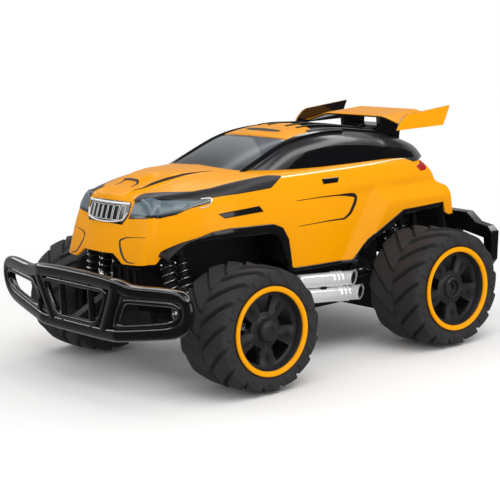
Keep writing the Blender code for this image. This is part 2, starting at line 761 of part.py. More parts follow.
def shock_rods(at):
    """Two piston rods with lower spring seats, joined by the pin through their lower eyes."""
    seat = SHOCK_LENGTH - SHOCK_SEAT_OFFSET
    top = SHOCK_EYE_RADIUS + SHOCK_BODY_LENGTH - 10.0
    foot = 2.6
    profile = [
        (0.0, top), (SHOCK_ROD_RADIUS, top), (SHOCK_ROD_RADIUS, seat), (SHOCK_SEAT_RADIUS, seat),
        (SHOCK_SEAT_RADIUS, seat + SHOCK_SEAT_THICKNESS), (foot, seat + SHOCK_SEAT_THICKNESS),
        (foot, SHOCK_LENGTH - 2.5), (0.0, SHOCK_LENGTH - 2.5),
    ]
    shape = eye_pair(at(0.0, 0.0, SHOCK_LENGTH))
    for offset in (-SHOCK_SPACING / 2, SHOCK_SPACING / 2):
        union(shape, lathe(profile, at(offset, 0.0, 0.0), down_axis(at), 8))
    return shape


def spring(at, offset, name, mat, origin):
    """Open-ended coil between the two seats, as one round wire."""
    start = SHOCK_SEAT_OFFSET + FIT + SPRING_WIRE / 2
    end = SHOCK_LENGTH - SHOCK_SEAT_OFFSET - FIT - SPRING_WIRE / 2
    count = SPRING_COILS * SPRING_POINTS
    path = []
    for i in range(count + 1):
        turn = math.tau * i / SPRING_POINTS
        depth = start + (end - start) * i / count
        path.append(at(offset + SPRING_RADIUS * math.cos(turn), SPRING_RADIUS * math.sin(turn), depth))
    curve = bpy.data.curves.new(name, "CURVE")
    curve.dimensions = "3D"
    curve.bevel_depth = SPRING_WIRE / 2 * MM
    curve.bevel_resolution = 1
    curve.use_fill_caps = True
    curve.materials.append(mat)
    line = curve.splines.new("POLY")
    line.points.add(count)
    for spot, p in zip(line.points, path):
        spot.co = (*((p - Vector(origin)) * MM), 1.0)
    obj = bpy.data.objects.new(name, curve)
    obj.location = point(*origin)
    bpy.context.collection.objects.link(obj)
    apart = [
        (path[i] - path[j]).length
        for i in range(count + 1)
        for j in range(i + SPRING_POINTS // 2, count + 1)
    ]
    return min(apart) - SPRING_WIRE


def make_shocks(mats):
    corners = (
        ("front", FRONT_SHOCK_X, FRONT_SHOCK_TOP_Y, FRONT_SHOCK_TOP_Z),
        ("rear", REAR_SHOCK_X, REAR_SHOCK_TOP_Y, REAR_SHOCK_TOP_Z),
    )
    gaps = []
    for end, x, y, z in corners:
        at = shock_frame(x, y, z)
        top = (x, y, z)
        pair(shock_bodies(at), f"shock_bodies_{end}", mats["black"], top)
        pair(shock_rods(at), f"shock_rods_{end}", mats["steel"], top)
        for place, offset in (("front", SHOCK_SPACING / 2), ("rear", -SHOCK_SPACING / 2)):
            for hand, sign in (("left", 1.0), ("right", -1.0)):

                def on_side(along_x, side, depth, sign=sign):
                    p = at(along_x, side, depth)
                    return Vector((p.x, sign * p.y, p.z))

                name = f"spring_{end}_{hand}_{place}"
                gaps.append(spring(on_side, offset, name, mats["steel"], (x, sign * y, z)))
    print(f"least gap of a spring to itself: {min(gaps):.2f} mm")


# Rear live axle and drive
def gear_outline(teeth, centre, first_tooth):
    """Straight-flanked teeth about a pitch circle, thinned for backlash."""
    pitch_radius = GEAR_MODULE * teeth / 2
    tip, root = pitch_radius + 0.85 * GEAR_MODULE, pitch_radius - 1.15 * GEAR_MODULE
    quarter = math.tau / teeth / 4
    shape = [(root, -1.35), (tip, -0.38), (tip, 0.38), (root, 1.35)]
    points = []
    for k in range(teeth):
        middle = first_tooth + math.tau * k / teeth
        for radius, share in shape:
            a = middle + share * quarter
            points.append((centre[0] + radius * math.cos(a), centre[1] + radius * math.sin(a)))
    return points


def mesh_angle():
    """Direction from the axle to the motor shaft, where a spur tooth meets a pinion gap."""
    return math.atan2(MOTOR_RISE, MOTOR_X - REAR_AXLE_X)


def spur_gear():
    axle = (REAR_AXLE_X, WHEEL_Z)
    half = GEAR_WIDTH / 2
    disc = prism(gear_outline(SPUR_TEETH, axle, mesh_angle()), "y", -half, half)
    hub_half = CASE_HALF_WIDTH - CASE_WALL - RUN
    hub = rod("y", axle, AXLE_RADIUS + 3.5, -hub_half, hub_half)
    gear = union(disc, hub)
    return cut(gear, rod("y", axle, AXLE_RADIUS + FIT, -CASE_HALF_WIDTH, CASE_HALF_WIDTH))


def motor_pinion():
    """Brass pinion on the motor's shaft, which runs into the motor's end bell."""
    shaft_at = (MOTOR_X, MOTOR_Z)
    half = GEAR_WIDTH / 2
    first = mesh_angle() + math.pi + math.pi / PINION_TEETH
    teeth = prism(gear_outline(PINION_TEETH, shaft_at, first), "y", -half, half)
    shaft = rod("y", shaft_at, MOTOR_SHAFT_RADIUS, -half - 1.5, CASE_HALF_WIDTH + 7.0, 10)
    return union(teeth, shaft)


def motor():
    """Can motor beside the gear case, with its end bell, terminals and the bore of its shaft."""
    at = (MOTOR_X, MOTOR_Z)
    near = CASE_HALF_WIDTH + FIT
    far = near + MOTOR_LENGTH
    can = rod("y", at, MOTOR_RADIUS, near, far - 3.0, 16)
    bell = rod("y", at, MOTOR_RADIUS - 1.5, far - 4.0, far, 16)
    nub = rod("y", at, 3.0, far - 1.0, far + 2.0, 12)
    shape = union(can, bell, nub)
    for side in (-1.0, 1.0):
        x = MOTOR_X + side * 7.0
        union(shape, box((x - 1.2, x + 1.2), (far - 1.0, far + 3.0), (MOTOR_Z - 0.3, MOTOR_Z + 0.3)))
    return cut(shape, rod("y", at, MOTOR_SHAFT_RADIUS + RUN, near - 2.0, near + 9.0, 10))


def case_span():
    """Low and high x of the gear case, and its floor."""
    reach = GEAR_MODULE * (SPUR_TEETH / 2 + 1.0) + RUN + 1.0 + CASE_WALL
    front = MOTOR_X + GEAR_MODULE * (PINION_TEETH / 2 + 1.0) + 1.5 + CASE_WALL
    return REAR_AXLE_X - reach, front, WHEEL_Z - reach


def axle_housing():
    """Axle tube, open-topped gear case, trailing arms with pivot pins, and shock brackets in one moulding."""
    axle = (REAR_AXLE_X, WHEEL_Z)
    rear, front, floor = case_span()
    roof = WHEEL_Z + CASE_ABOVE_AXLE
    side = CASE_HALF_WIDTH
    tube = rod("y", axle, AXLE_TUBE_RADIUS, -AXLE_TUBE_HALF, AXLE_TUBE_HALF, 14)
    chamfer = 8.0
    case = prism(
        [(rear, floor + chamfer), (rear + chamfer, floor), (front - chamfer, floor), (front, floor + chamfer),
         (front, roof), (rear, roof)],
        "y", -side, side,
    )
    shape = union(tube, case)
    arm_in, arm_out = TRAIL_ARM_Y - TRAIL_ARM_WIDTH / 2, TRAIL_ARM_Y + TRAIL_ARM_WIDTH / 2
    px, pz = SWING_PIVOT_X, SWING_PIVOT_Z
    ax, az = axle
    arm_outline = [
        (px + 6.0, pz - 1.0), (px + 3.0, pz + 5.5), (px - 5.0, pz + 6.0), (ax + 8.0, az + 7.5),
        (ax - 5.0, az + 6.0), (ax - 5.0, az - 8.0), (ax + 10.0, floor - 0.5), (ax + 22.0, floor - 0.5),
        (px - 8.0, pz - 7.0), (px + 2.0, pz - 6.5),
    ]
    lug_y = REAR_SHOCK_TOP_Y + SHOCK_LEAN
    lug_z = REAR_SHOCK_TOP_Z - SHOCK_RISE
    lug_rear = REAR_SHOCK_X - SHOCK_LUG / 2
    lug_in, lug_out = lug_y - 5.0, lug_y + 4.0
    lug_outline = [
        (lug_in, az - 6.0), (lug_out, az - 6.0), (lug_out, lug_z + 2.0), (lug_y + 2.0, lug_z + 4.0),
        (lug_y - 2.0, lug_z + 4.0), (lug_in, lug_z + 1.0),
    ]
    lug_bore = (lug_rear - 1.0, lug_rear + SHOCK_LUG + 1.0)
    for sign in (1.0, -1.0):
        arm = prism(arm_outline, "y", *sorted((sign * arm_in, sign * arm_out)))
        pin_ends = sorted((sign * (TUB_HALF_WIDTH - TUB_WALL), sign * (arm_in + 1.0)))
        pin = rod("y", (px, pz), SWING_PIN_RADIUS, *pin_ends)
        shelf = box((lug_rear, ax), sorted((sign * lug_in, sign * lug_out)), (az - 7.5, az - 4.0))
        lug = prism([(sign * y, z) for y, z in lug_outline], "x", lug_rear, lug_rear + SHOCK_LUG)
        union(shape, arm, pin, shelf, lug)
        cut(shape, rod("x", (sign * lug_y, lug_z), SHOCK_PIN_RADIUS + PIN_PLAY, *lug_bore))
    inside = side - CASE_WALL
    hollow = box((rear + CASE_WALL, front - CASE_WALL), (-inside, inside), (floor + 8.0, roof + 5.0))
    trough = rod("y", axle, GEAR_MODULE * (SPUR_TEETH / 2 + 1.0) + RUN, -inside, inside, 16)
    shaft_bore = rod("y", axle, AXLE_RADIUS + RUN, -AXLE_TUBE_HALF - 5.0, AXLE_TUBE_HALF + 5.0)
    motor_bore = rod("y", (MOTOR_X, MOTOR_Z), 4.0, 0.0, side + 5.0)
    return cut(shape, hollow, trough, shaft_bore, motor_bore)


def gear_cover():
    """Lid of the gear case with a rim that drops inside."""
    rear, front, _ = case_span()
    low = WHEEL_Z + CASE_ABOVE_AXLE + FIT
    side = CASE_HALF_WIDTH
    lid = box((rear, front), (-side, side), (low, low + 2.0))
    inset = CASE_WALL + FIT
    rim_low = low - 2.0
    skirt = box((rear + inset, front - inset), (-side + inset, side - inset), (rim_low, low + 1.0))
    lip = inset + 2.0
    opened = box((rear + lip, front - lip), (-side + lip, side - lip), (rim_low - 1.0, low + 0.5))
    return cut(union(lid, skirt), opened)


def rear_shaft():
    end = WHEEL_Y + TYRE_WIDTH / 2 - 10.0 - 1.0
    return rod("y", (REAR_AXLE_X, WHEEL_Z), AXLE_RADIUS, -end, end, 12)


def make_rear(mats):
    axle = (REAR_AXLE_X, 0.0, WHEEL_Z)
    finish(axle_housing(), "rear_axle_housing", mats["black"], (SWING_PIVOT_X, 0.0, SWING_PIVOT_Z))
    finish(gear_cover(), "gear_cover", mats["black"], axle)
    finish(spur_gear(), "spur_gear", mats["white"], axle)
    finish(rear_shaft(), "rear_axle_shaft", mats["steel"], axle)
    finish(motor_pinion(), "motor_pinion", mats["brass"], (MOTOR_X, 0.0, MOTOR_Z))
    finish(motor(), "drive_motor", mats["steel"], (MOTOR_X, CASE_HALF_WIDTH, MOTOR_Z))


# Chassis
def tower(x, top_y, top_z, base_half, base_z):
    """Cross plate that carries the upper shock pins of one axle."""
    reach = top_y + 6.0
    half_outline = [
        (base_half, base_z), (top_y - 8.0, top_z - 10.0), (reach, top_z - 5.0), (reach, top_z + 3.0),
        (top_y + 2.0, top_z + 6.0), (top_y - 8.0, top_z + 4.0), (base_half - 4.0, top_z - 2.0),
    ]
    outline = half_outline + [(-y, z) for y, z in reversed(half_outline)]
    plate = prism(outline, "x", x - SHOCK_LUG / 2, x + SHOCK_LUG / 2)
    ends = (x - SHOCK_LUG, x + SHOCK_LUG)
    bores = [rod("x", (sign * top_y, top_z), SHOCK_PIN_RADIUS + RUN, *ends) for sign in (1.0, -1.0)]
    return cut(plate, joined(bores))


def chassis_front():
    """Spine, hollow bulkhead with ribs, arm pivot plates, shock tower and front body posts."""
    half = BULKHEAD_HALF_WIDTH
    spine_y = (-SPINE_HALF_WIDTH, SPINE_HALF_WIDTH)
    spine = box((TUB_FRONT - 2.0, PIVOT_PLATE_REAR + 2.0), spine_y, (TUB_BOTTOM, SPINE_TOP))
    rear = PIVOT_PLATE_REAR + 1.0
    bulkhead = box((rear, BULKHEAD_FRONT), (-half, half), (TUB_BOTTOM, BULKHEAD_TOP))
    wall = TUB_WALL
    hollow_y = (-half + wall, half - wall)
    hollow_z = (TUB_BOTTOM - 3.0, BULKHEAD_TOP - wall)
    cut(bulkhead, box((rear + wall, BULKHEAD_FRONT - wall), hollow_y, hollow_z))
    plate_y = ARM_PIVOT_Y + 6.0
    plates = [
        box((x, x + PIVOT_PLATE), (-plate_y, plate_y), (ARM_PIVOT_Z - 8.0, ARM_PIVOT_Z + 8.0))
        for x in (PIVOT_PLATE_REAR, ARM_FRONT + FIT)
    ]
    slots = [
        box((x - 1.0, x + PIVOT_PLATE + 1.0), hollow_y, (ARM_PIVOT_Z - 9.0, ARM_PIVOT_Z + 9.0))
        for x in (PIVOT_PLATE_REAR, ARM_FRONT + FIT)
    ]
    rib_z = (ARM_PIVOT_Z + 6.0, BULKHEAD_TOP - 2.0)
    ribs = [
        box((BULKHEAD_FRONT - 1.0, BULKHEAD_FRONT + RIB_PROUD), (y - 1.2, y + 1.2), rib_z)
        for y in (-16.0, -6.0, 6.0, 16.0)
    ]
    for plate, slot in zip(plates, slots):
        union(bulkhead, cut(plate, slot))
    bridge = tower(FRONT_SHOCK_X, FRONT_SHOCK_TOP_Y, FRONT_SHOCK_TOP_Z, half - 2.0, BULKHEAD_TOP - 6.0)
    post_z = (BULKHEAD_TOP - 2.0, FRONT_POST_TOP)
    posts = [rod("z", (FRONT_SHOCK_X, sign * POST_Y), POST_RADIUS, *post_z, 12) for sign in (1.0, -1.0)]
    union(spine, bulkhead, *ribs, bridge, *posts)
    bore_x = (PIVOT_PLATE_REAR - 3.0, BULKHEAD_FRONT + 9.0)
    bores = [
        rod("x", (sign * ARM_PIVOT_Y, ARM_PIVOT_Z), TRUNNION_RADIUS + FIT, *bore_x, 12)
        for sign in (1.0, -1.0)
    ]
    return cut(spine, joined(bores))


def chassis_rear():
    """Riser, upper rails, shock tower, body posts and the plate that carries the rear bumper."""
    rail_top = RAIL_BOTTOM + RAIL_HEIGHT
    outer = RAIL_Y + RAIL_WIDTH / 2
    riser = box((TUB_REAR, TUB_REAR + 6.0), (-outer, outer), (TUB_TOP - 12.0, rail_top))
    inner = outer - RAIL_WIDTH
    window = box((TUB_REAR - 1.0, TUB_REAR + 7.0), (-inner, inner), (TUB_TOP, RAIL_BOTTOM))
    cut(riser, window)
    for sign in (1.0, -1.0):
        y = sorted((sign * inner, sign * outer))
        union(riser, box((RAIL_REAR, TUB_REAR + 1.0), y, (RAIL_BOTTOM, rail_top)))
    beam_z = (RAIL_BOTTOM + 1.0, rail_top - 1.0)
    beam = box((REAR_POST_X - 5.0, REAR_POST_X + 5.0), (-outer + 1.0, outer - 1.0), beam_z)
    end_z = (BUMPER_BOTTOM + 20.0, rail_top + 1.0)
    end = box((RAIL_REAR - 3.0, RAIL_REAR + 3.0), (-outer - 3.0, outer + 3.0), end_z)
    bridge = tower(REAR_SHOCK_X, REAR_SHOCK_TOP_Y, REAR_SHOCK_TOP_Z, outer + 1.0, RAIL_BOTTOM + 1.0)
    post_z = (RAIL_BOTTOM + 3.0, REAR_POST_TOP)
    posts = [rod("z", (REAR_POST_X, sign * POST_Y), POST_RADIUS, *post_z, 12) for sign in (1.0, -1.0)]
    return union(riser, beam, end, bridge, *posts)


def chassis_tub():
    """Open tray for battery and electronics, joined to the front and rear structures."""
    w, wall = TUB_HALF_WIDTH, TUB_WALL
    tray = box((TUB_REAR, TUB_FRONT), (-w, w), (TUB_BOTTOM, TUB_TOP))
    floor_top = TUB_BOTTOM + wall
    well = box((TUB_REAR + wall, TUB_FRONT - wall), (-w + wall, w - wall), (floor_top, TUB_TOP + 5.0))
    cut(tray, well)
    board_mid = (DOOR_FRONT + DOOR_REAR) / 2
    posts = [
        box((x - 2.0, x + 2.0), (y - 1.8, y + 1.8), (floor_top - 1.0, BOARD_Z - FIT))
        for x in (board_mid - BOARD_LENGTH / 2 + 3.0, board_mid + BOARD_LENGTH / 2 - 3.0)
        for y in (-BOARD_HALF_WIDTH + 2.4, BOARD_HALF_WIDTH - 2.4)
    ]
    pivot = (SWING_PIVOT_X, SWING_PIVOT_Z)
    boss_end = TRAIL_ARM_Y - TRAIL_ARM_WIDTH / 2 - RUN
    bosses = [
        rod("y", pivot, SWING_PIN_RADIUS + 3.5, *sorted((sign * (w - 1.0), sign * boss_end)))
        for sign in (1.0, -1.0)
    ]
    union(tray, *posts, *bosses, chassis_front(), chassis_rear())
    through = (TUB_BOTTOM - 2.0, floor_top + 2.0)
    door = box((DOOR_REAR, DOOR_FRONT), (-DOOR_HALF_WIDTH, DOOR_HALF_WIDTH), through)
    slot = box((SWITCH_X - 3.0, SWITCH_X + 3.0 + SWITCH_TRAVEL), (-2.8, 2.8), through)
    pivots = rod("y", pivot, SWING_PIN_RADIUS + RUN, -w - 9.0, w + 9.0)
    return cut(tray, door, slot, pivots)


def battery_door():
    """Lid in the floor with a finger ridge at its free edge; it turns on its right-hand edge."""
    half = DOOR_HALF_WIDTH - FIT
    lid = box((DOOR_REAR + FIT, DOOR_FRONT - FIT), (-half, half), (TUB_BOTTOM, TUB_BOTTOM + DOOR_THICKNESS))
    mid = (DOOR_REAR + DOOR_FRONT) / 2
    groove_y = (half - 8.7, half - 3.7)
    grooves = [
        box((mid + 5.0 * k - 1.0, mid + 5.0 * k + 1.0), groove_y, (TUB_BOTTOM - 1.0, TUB_BOTTOM + 0.8))
        for k in (-2, -1, 0, 1, 2)
    ]
    return cut(lid, joined(grooves))


def battery_pack():
    """Two cells side by side in a shrink wrap, lying on the door."""
    low = TUB_BOTTOM + DOOR_THICKNESS + FIT
    mid = (DOOR_REAR + DOOR_FRONT) / 2
    ends = (mid - CELL_LENGTH / 2, mid + CELL_LENGTH / 2)
    z = low + CELL_RADIUS
    cells = [rod("x", (s * CELL_RADIUS, z), CELL_RADIUS, ends[0], ends[1], 16) for s in (-1.0, 1.0)]
    web = box(ends, (-CELL_RADIUS, CELL_RADIUS), (z - CELL_RADIUS * 0.8, z + CELL_RADIUS * 0.8))
    return union(cells[0], web, cells[1])


def circuit_board():
    """Receiver and speed controller: board with a driver chip, capacitor and antenna post."""
    mid = (DOOR_FRONT + DOOR_REAR) / 2
    ends = (mid - BOARD_LENGTH / 2, mid + BOARD_LENGTH / 2)
    top = BOARD_Z + BOARD_THICKNESS
    board = box(ends, (-BOARD_HALF_WIDTH, BOARD_HALF_WIDTH), (BOARD_Z, top))
    step = BOARD_LENGTH / 10
    chip = box((mid - 1.6 * step, mid + 0.8 * step), (-6.0, 6.0), (top - 0.5, top + 2.2))
    sink = box((mid + 2.0 * step, mid + 4.0 * step), (-14.0, -4.0), (top - 0.5, top + 5.0))
    can = rod("z", (mid + 3.0 * step, 8.0), 4.0, top - 0.5, top + 9.0, 12)
    crystal = box((mid - 4.0 * step, mid - 2.4 * step), (4.0, 8.0), (top - 0.5, top + 3.5))
    return union(board, chip, sink, can, crystal)


def power_switch():
    """Slide knob in the floor with its carrier plate inside the tub."""
    floor_top = TUB_BOTTOM + TUB_WALL
    knob = box((SWITCH_X - 2.5, SWITCH_X + 2.5), (-2.4, 2.4), (TUB_BOTTOM - 1.5, floor_top + 1.0))
    carrier = box((SWITCH_X - 4.5, SWITCH_X + 4.5), (-5.0, 5.0), (floor_top + FIT, floor_top + FIT + 1.8))
    return union(knob, carrier)


def make_chassis(mats):
    finish(chassis_tub(), "chassis_tub", mats["black"])
    finish(battery_door(), "battery_door", mats["black"], (DOOR_REAR, -DOOR_HALF_WIDTH + FIT, TUB_BOTTOM))
    finish(battery_pack(), "battery_pack", mats["wrap"])
    finish(circuit_board(), "circuit_board", mats["board"])
    finish(power_switch(), "power_switch", mats["white"], (SWITCH_X, 0.0, TUB_BOTTOM))


# Body
def body_sections():
    """Stations from nose to tail: x at the lip, lean, and the half-section from roof centre to sill."""
    w = BODY_HALF_WIDTH
    lip, sill, side, belt, top = LIP_Z, SILL_Z, SHOULDER_Z, BELT_Z, BELT_Z + HOOD_CROWN
    lean, ahead, behind = NOSE_LEAN, FRONT_AXLE_X, REAR_AXLE_X
    return [
        (NOSE_X, lean,
         [(0, belt - 5), (w - 65, belt - 5), (w - 56, belt - 8), (w - 52, side + 1), (w - 53, lip)]),
        (NOSE_X - 5, lean,
         [(0, belt - 4), (w - 55, belt - 4), (w - 41.5, belt - 7), (w - 35.5, side + 1), (w - 36.5, lip)]),
        (NOSE_X - 16, lean,
         [(0, belt - 1), (w - 48, belt - 2), (w - 29.5, belt - 6), (w - 22, side), (w - 23, lip)]),
        (NOSE_X - 32, lean,
         [(0, belt + 3), (w - 49, belt + 2), (w - 19.5, belt - 5), (w - 11.5, side), (w - 12.5, lip)]),
        (ahead + 7.5, 0.2,
         [(0, belt + 7), (w - 48, belt + 6), (w - 11.5, belt - 3), (w - 2.5, side), (w - 4, lip)]),
        (ahead - 54.5, 0.0,
         [(0, top), (w - 39, top - 2), (w - 9, belt + 1), (w, side - 2), (w - 4, sill)]),
        (behind + 40.5, 0.0,
         [(0, top - 4), (w - 39, top - 6), (w - 10, belt - 1), (w - 1, side - 4), (w - 4, sill)]),
        (behind - 11.5, 0.0,
         [(0, belt + 1), (w - 39, belt), (w - 10, belt - 3), (w, side - 4), (w - 3, lip)]),
        (TAIL_X, -TAIL_LEAN,
         [(0, belt - 3), (w - 41, belt - 4), (w - 15, belt - 7), (w - 5, side - 2), (w - 8, lip)]),
    ]


def ring_at(x, lean, half, inset, drop, end_inset):
    """One closed ring of a body section, drawn in by inset, leaning back above the lip."""
    ring = []
    low = half[-1][1]
    count = len(half)
    for k, (y, z) in enumerate(half):
        across = max(y - inset, 0.0) if y > 0 else 0.0
        height = z - inset if k < count - 2 else z
        if k == count - 1:
            height = z - drop
        ring.append((x - end_inset - lean * (height - low), across, height))
    left = [point(*p) for p in ring]
    right = [point(x, -y, z) for x, y, z in reversed(ring[1:])]
    return left + right


def body_solid(inset=0.0, drop=0.0):
    """The body's outer form as one solid; a positive inset gives its cavity, a negative one its offset."""
    stations = body_sections()
    rings = []
    for k, (x, lean, half) in enumerate(stations):
        end_inset = inset if k < 3 else -inset if k == len(stations) - 1 else 0.0
        rings.append(ring_at(x, lean, half, inset, drop, end_inset))
    return skin(rings, warped=True)


def edge_line():
    """Lower edge of the painted side from nose to tail: lip, front arch, sill and rear arch, as (x, z)."""
    f, r = FRONT_AXLE_X, REAR_AXLE_X
    lip, sill, arch = LIP_Z + 3, SILL_Z, ARCH_Z
    front_arch = [
        (f + 43, lip + 6.5), (f + 19, arch - 5), (f + 4, arch - 1), (f - 12, arch), (f - 56.5, arch - 3),
        (f - 67, arch - 7.5), (f - 73, arch - 18), (f - 75.7, sill + 3),
    ]
    rear_arch = [
        (r + 59, sill), (r + 43, sill + 16), (r + 3, arch - 10), (r - 45, arch - 10.5), (r - 50, lip + 2),
    ]
    nose = [(NOSE_X + 12, lip), (f + 48, lip)]
    tail = [(r - 56, lip - 1), (TAIL_X - 30, lip - 1)]
    return nose + front_arch + rear_arch + tail


def below(line, shift=0.0):
    """Cutter for all that lies under an edge line shifted down."""
    outline = [(x, z - shift) for x, z in line]
    outline += [(line[-1][0], -20.0), (line[0][0], -20.0)]
    return prism(outline, "y", -BODY_HALF_WIDTH - 30.0, BODY_HALF_WIDTH + 30.0)


def side_edges():
    """The stretch of the edge line that carries black trim, from the front arch to the rear one."""
    return edge_line()[2:15]


def trim_line(line, width):
    """A line drawn in from an edge line by the trim's width, towards the wheels and the ground."""
    moved = []
    for k, (x, z) in enumerate(line):
        before = Vector(line[max(k - 1, 0)])
        after = Vector(line[min(k + 1, len(line) - 1)])
        along = (after - before).normalized()
        moved.append((x - along.y * width, z + along.x * width))
    return moved


def body_shell():
    """Thin painted shell, open below, with arches, nose notch and bosses for the chassis posts."""
    shell = cut(body_solid(), body_solid(BODY_WALL, 30.0), below(edge_line()))
    notch_outline = symmetric([(NOTCH_HALF_WIDTH, LIP_Z + 1), (NOTCH_TOP_HALF, LIP_Z + NOTCH_RISE)])
    notch = prism(notch_outline, "x", NOSE_X - 25, NOSE_X + 20)
    bosses = []
    for x, low in ((FRONT_SHOCK_X, FRONT_POST_TOP), (REAR_POST_X, REAR_POST_TOP)):
        for sign in (1.0, -1.0):
            bosses.append(rod("z", (x, sign * POST_Y), POST_RADIUS + 1.5, low + FIT, BELT_Z + 20.0, 12))
    union(shell, common(joined(bosses), body_solid(BODY_WALL / 2)))
    cut(shell, notch)
    return cut(shell, *[recess(FIT) for recess in (grille_zone, headlight_zone, tail_light_zone)])


def grille_zone(grow=0.0):
    """Block through the nose where the grille sits."""
    g = grow
    top, low = LIGHT_TOP_Z - 0.5, LIGHT_BOTTOM_Z + 1.0
    outer = LIGHT_INNER_Y - 4.0
    outline = symmetric([(outer + g, top + g), (outer - 1 + g, low - g), (outer - 6 + g, low - 4 - g)])
    return prism(outline, "x", NOSE_X - 33, NOSE_X + 10)


def headlight_zone(grow=0.0):
    """Blocks through both nose corners where the headlights sit."""
    g = grow
    inner, outer = LIGHT_INNER_Y - g, BODY_HALF_WIDTH + 11
    top, low = LIGHT_TOP_Z, LIGHT_BOTTOM_Z
    front_x, tail_x = NOSE_X - 29, FRONT_AXLE_X + 0.5 - g
    facing_outline = [(inner, top + g), (outer, top + g), (outer, low - g), (inner, low - g)]
    side_outline = [
        (front_x, top + g), (tail_x, top + 1 + g), (tail_x, top - 2 - g), (FRONT_AXLE_X + 17, low + 6 - g),
        (FRONT_AXLE_X + 28, low + 2.5 - g), (front_x, low - g),
    ]
    blocks = []
    for sign in (1.0, -1.0):
        facing = prism([(sign * y, z) for y, z in facing_outline], "x", NOSE_X - 33, NOSE_X + 10)
        along = prism(side_outline, "y", *sorted((sign * (outer - 50), sign * outer)))
        blocks.append(union(facing, along))
    return joined(blocks)


def tail_light_zone(grow=0.0):
    """Blocks through both tail corners where the tail lights sit."""
    g, z = grow, TAIL_LIGHT_Z
    inner, outer = BODY_HALF_WIDTH - TAIL_LIGHT_REACH - g, BODY_HALF_WIDTH + 1
    blocks = []
    for sign in (1.0, -1.0):
        outline = [(inner, z + 3 + g), (outer, z + 4 + g), (outer, z - 4 - g), (inner, z - 2 - g)]
        blocks.append(prism([(sign * y, z) for y, z in outline], "x", TAIL_X - 10, TAIL_X + 33))
    return joined(blocks)


def inlay(zone, sign=0.0):
    """The part of a zone that lies in the body's skin and stands a little proud of it."""
    band = cut(body_solid(-PROUD), body_solid(BODY_WALL, 30.0))
    if sign:
        keep = box((TAIL_X - 40, NOSE_X + 40), sorted((sign * 5.0, sign * 120.0)), (80.0, 200.0))
        common(band, keep)
    return common(band, zone)


def grille():
    """Insert with a frame and a row of upright slots."""
    shape = inlay(grille_zone())
    slot_z = (LIGHT_BOTTOM_Z + 0.5, LIGHT_TOP_Z - 3.0)
    slots = []
    for k in range(-4, 5):
        y = 5.4 * k
        slots.append(box((NOSE_X - 40, NOSE_X + 20), (y - 1.7, y + 1.7), slot_z))
    return cut(shape, joined(slots))


def side_trim():
    """Black lip of the left side: front arch, sill and rear arch in one strip."""
    line = side_edges()
    gap_line = trim_line(line, FIT)
    low_line = trim_line(line, TRIM_WIDTH)
    outline = gap_line + list(reversed(low_line))
    strip = prism(outline, "y", 40.0, BODY_HALF_WIDTH + 30.0)
    wall = cut(body_solid(0.4, 15.0), body_solid(BODY_WALL + 2.0, 30.0))
    return common(wall, strip)


def roof_at(share):
    """Height on the greenhouse, from the belt at 0 to the top of the roof at 1."""
    return BELT_Z + (ROOF_Z - BELT_Z) * share


def cabin_sections():
    """Greenhouse stations: x, height of the roof's middle, roof edge's y and z, and the foot's y and z."""
    r, foot = ROOF_HALF_WIDTH, BELT_Z - CABIN_SINK
    return [
        (cabin_x(0.0), roof_at(0.175), r - 8, roof_at(0.111), r + 5, foot),
        (cabin_x(0.303), roof_at(0.873), r - 1, roof_at(0.762), r + 18, foot),
        (cabin_x(0.431), roof_at(1.0), r, roof_at(0.841), r + 20, foot),
        (cabin_x(0.716), roof_at(0.778), r, roof_at(0.619), r + 20, foot),
        (cabin_x(0.927), roof_at(0.429), r - 1, roof_at(0.27), r + 16, foot + 5),
        (cabin_x(1.0), roof_at(0.016), r - 5, roof_at(-0.048), r + 8, foot + 8),
    ]


def cabin_x(share):
    """Place along the greenhouse, from the windscreen's foot at 0 to the rear lip at 1."""
    front, rear = FRONT_AXLE_X - 36.5, REAR_AXLE_X - 53.5
    return front + (rear - front) * share


def cabin_solid(inset=0.0, drop=0.0):
    """The greenhouse as one solid whose foot runs down into the body."""
    stations = cabin_sections()
    rings = []
    for k, (x, top, edge_y, edge_z, foot_y, foot) in enumerate(stations):
        if k == 0:
            x -= inset
        if k == len(stations) - 1:
            x += inset
        window_y = edge_y + (foot_y - edge_y) * 0.5
        window_z = edge_z - (edge_z - foot) * 0.22
        half = [
            (0.0, top - inset), (edge_y * 0.6, top - inset - 0.8), (edge_y - inset, edge_z - inset),
            (window_y - inset, window_z - inset * 0.5), (foot_y - inset, foot - drop),
        ]
        left = [point(x, y, z) for y, z in half]
        rings.append(left + [point(x, -y, z) for y, z in reversed(half[1:])])
    return skin(rings, warped=True)


def cabin():
    """Thin black greenhouse whose foot follows the body's deck."""
    return cut(cabin_solid(), cabin_solid(CABIN_WALL, 20.0), body_solid(-FIT))


def roof_panel():
    """Painted front roof panel, wide at the windscreen, lying on the greenhouse."""
    r = ROOF_HALF_WIDTH
    plan_half = [(cabin_x(0.33), r - 7), (cabin_x(0.477), r - 4), (cabin_x(0.6), r - 12), (cabin_x(0.64), 0)]
    outline = plan_half + [(x, -y) for x, y in reversed(plan_half[:-1])]
    plan = prism(outline, "z", ROOF_Z - 40.0, ROOF_Z + 20.0)
    sheet = cut(cabin_solid(-FIT - PANEL_THICKNESS), cabin_solid(-FIT, 1.0))
    return common(sheet, plan)


def make_body(mats):
    finish(body_shell(), "body_shell", mats["orange"])
    finish(cabin(), "cabin", mats["gloss_black"])
    finish(roof_panel(), "roof_panel", mats["orange"])
    finish(grille(), "grille", mats["chrome"])
    pair(inlay(headlight_zone(), 1.0), "headlight", mats["lens"], (0.0, 0.0, 0.0))
    pair(inlay(tail_light_zone(), 1.0), "tail_light", mats["red"], (0.0, 0.0, 0.0))
    pair(side_trim(), "side_trim", mats["gloss_black"], (0.0, 0.0, 0.0))


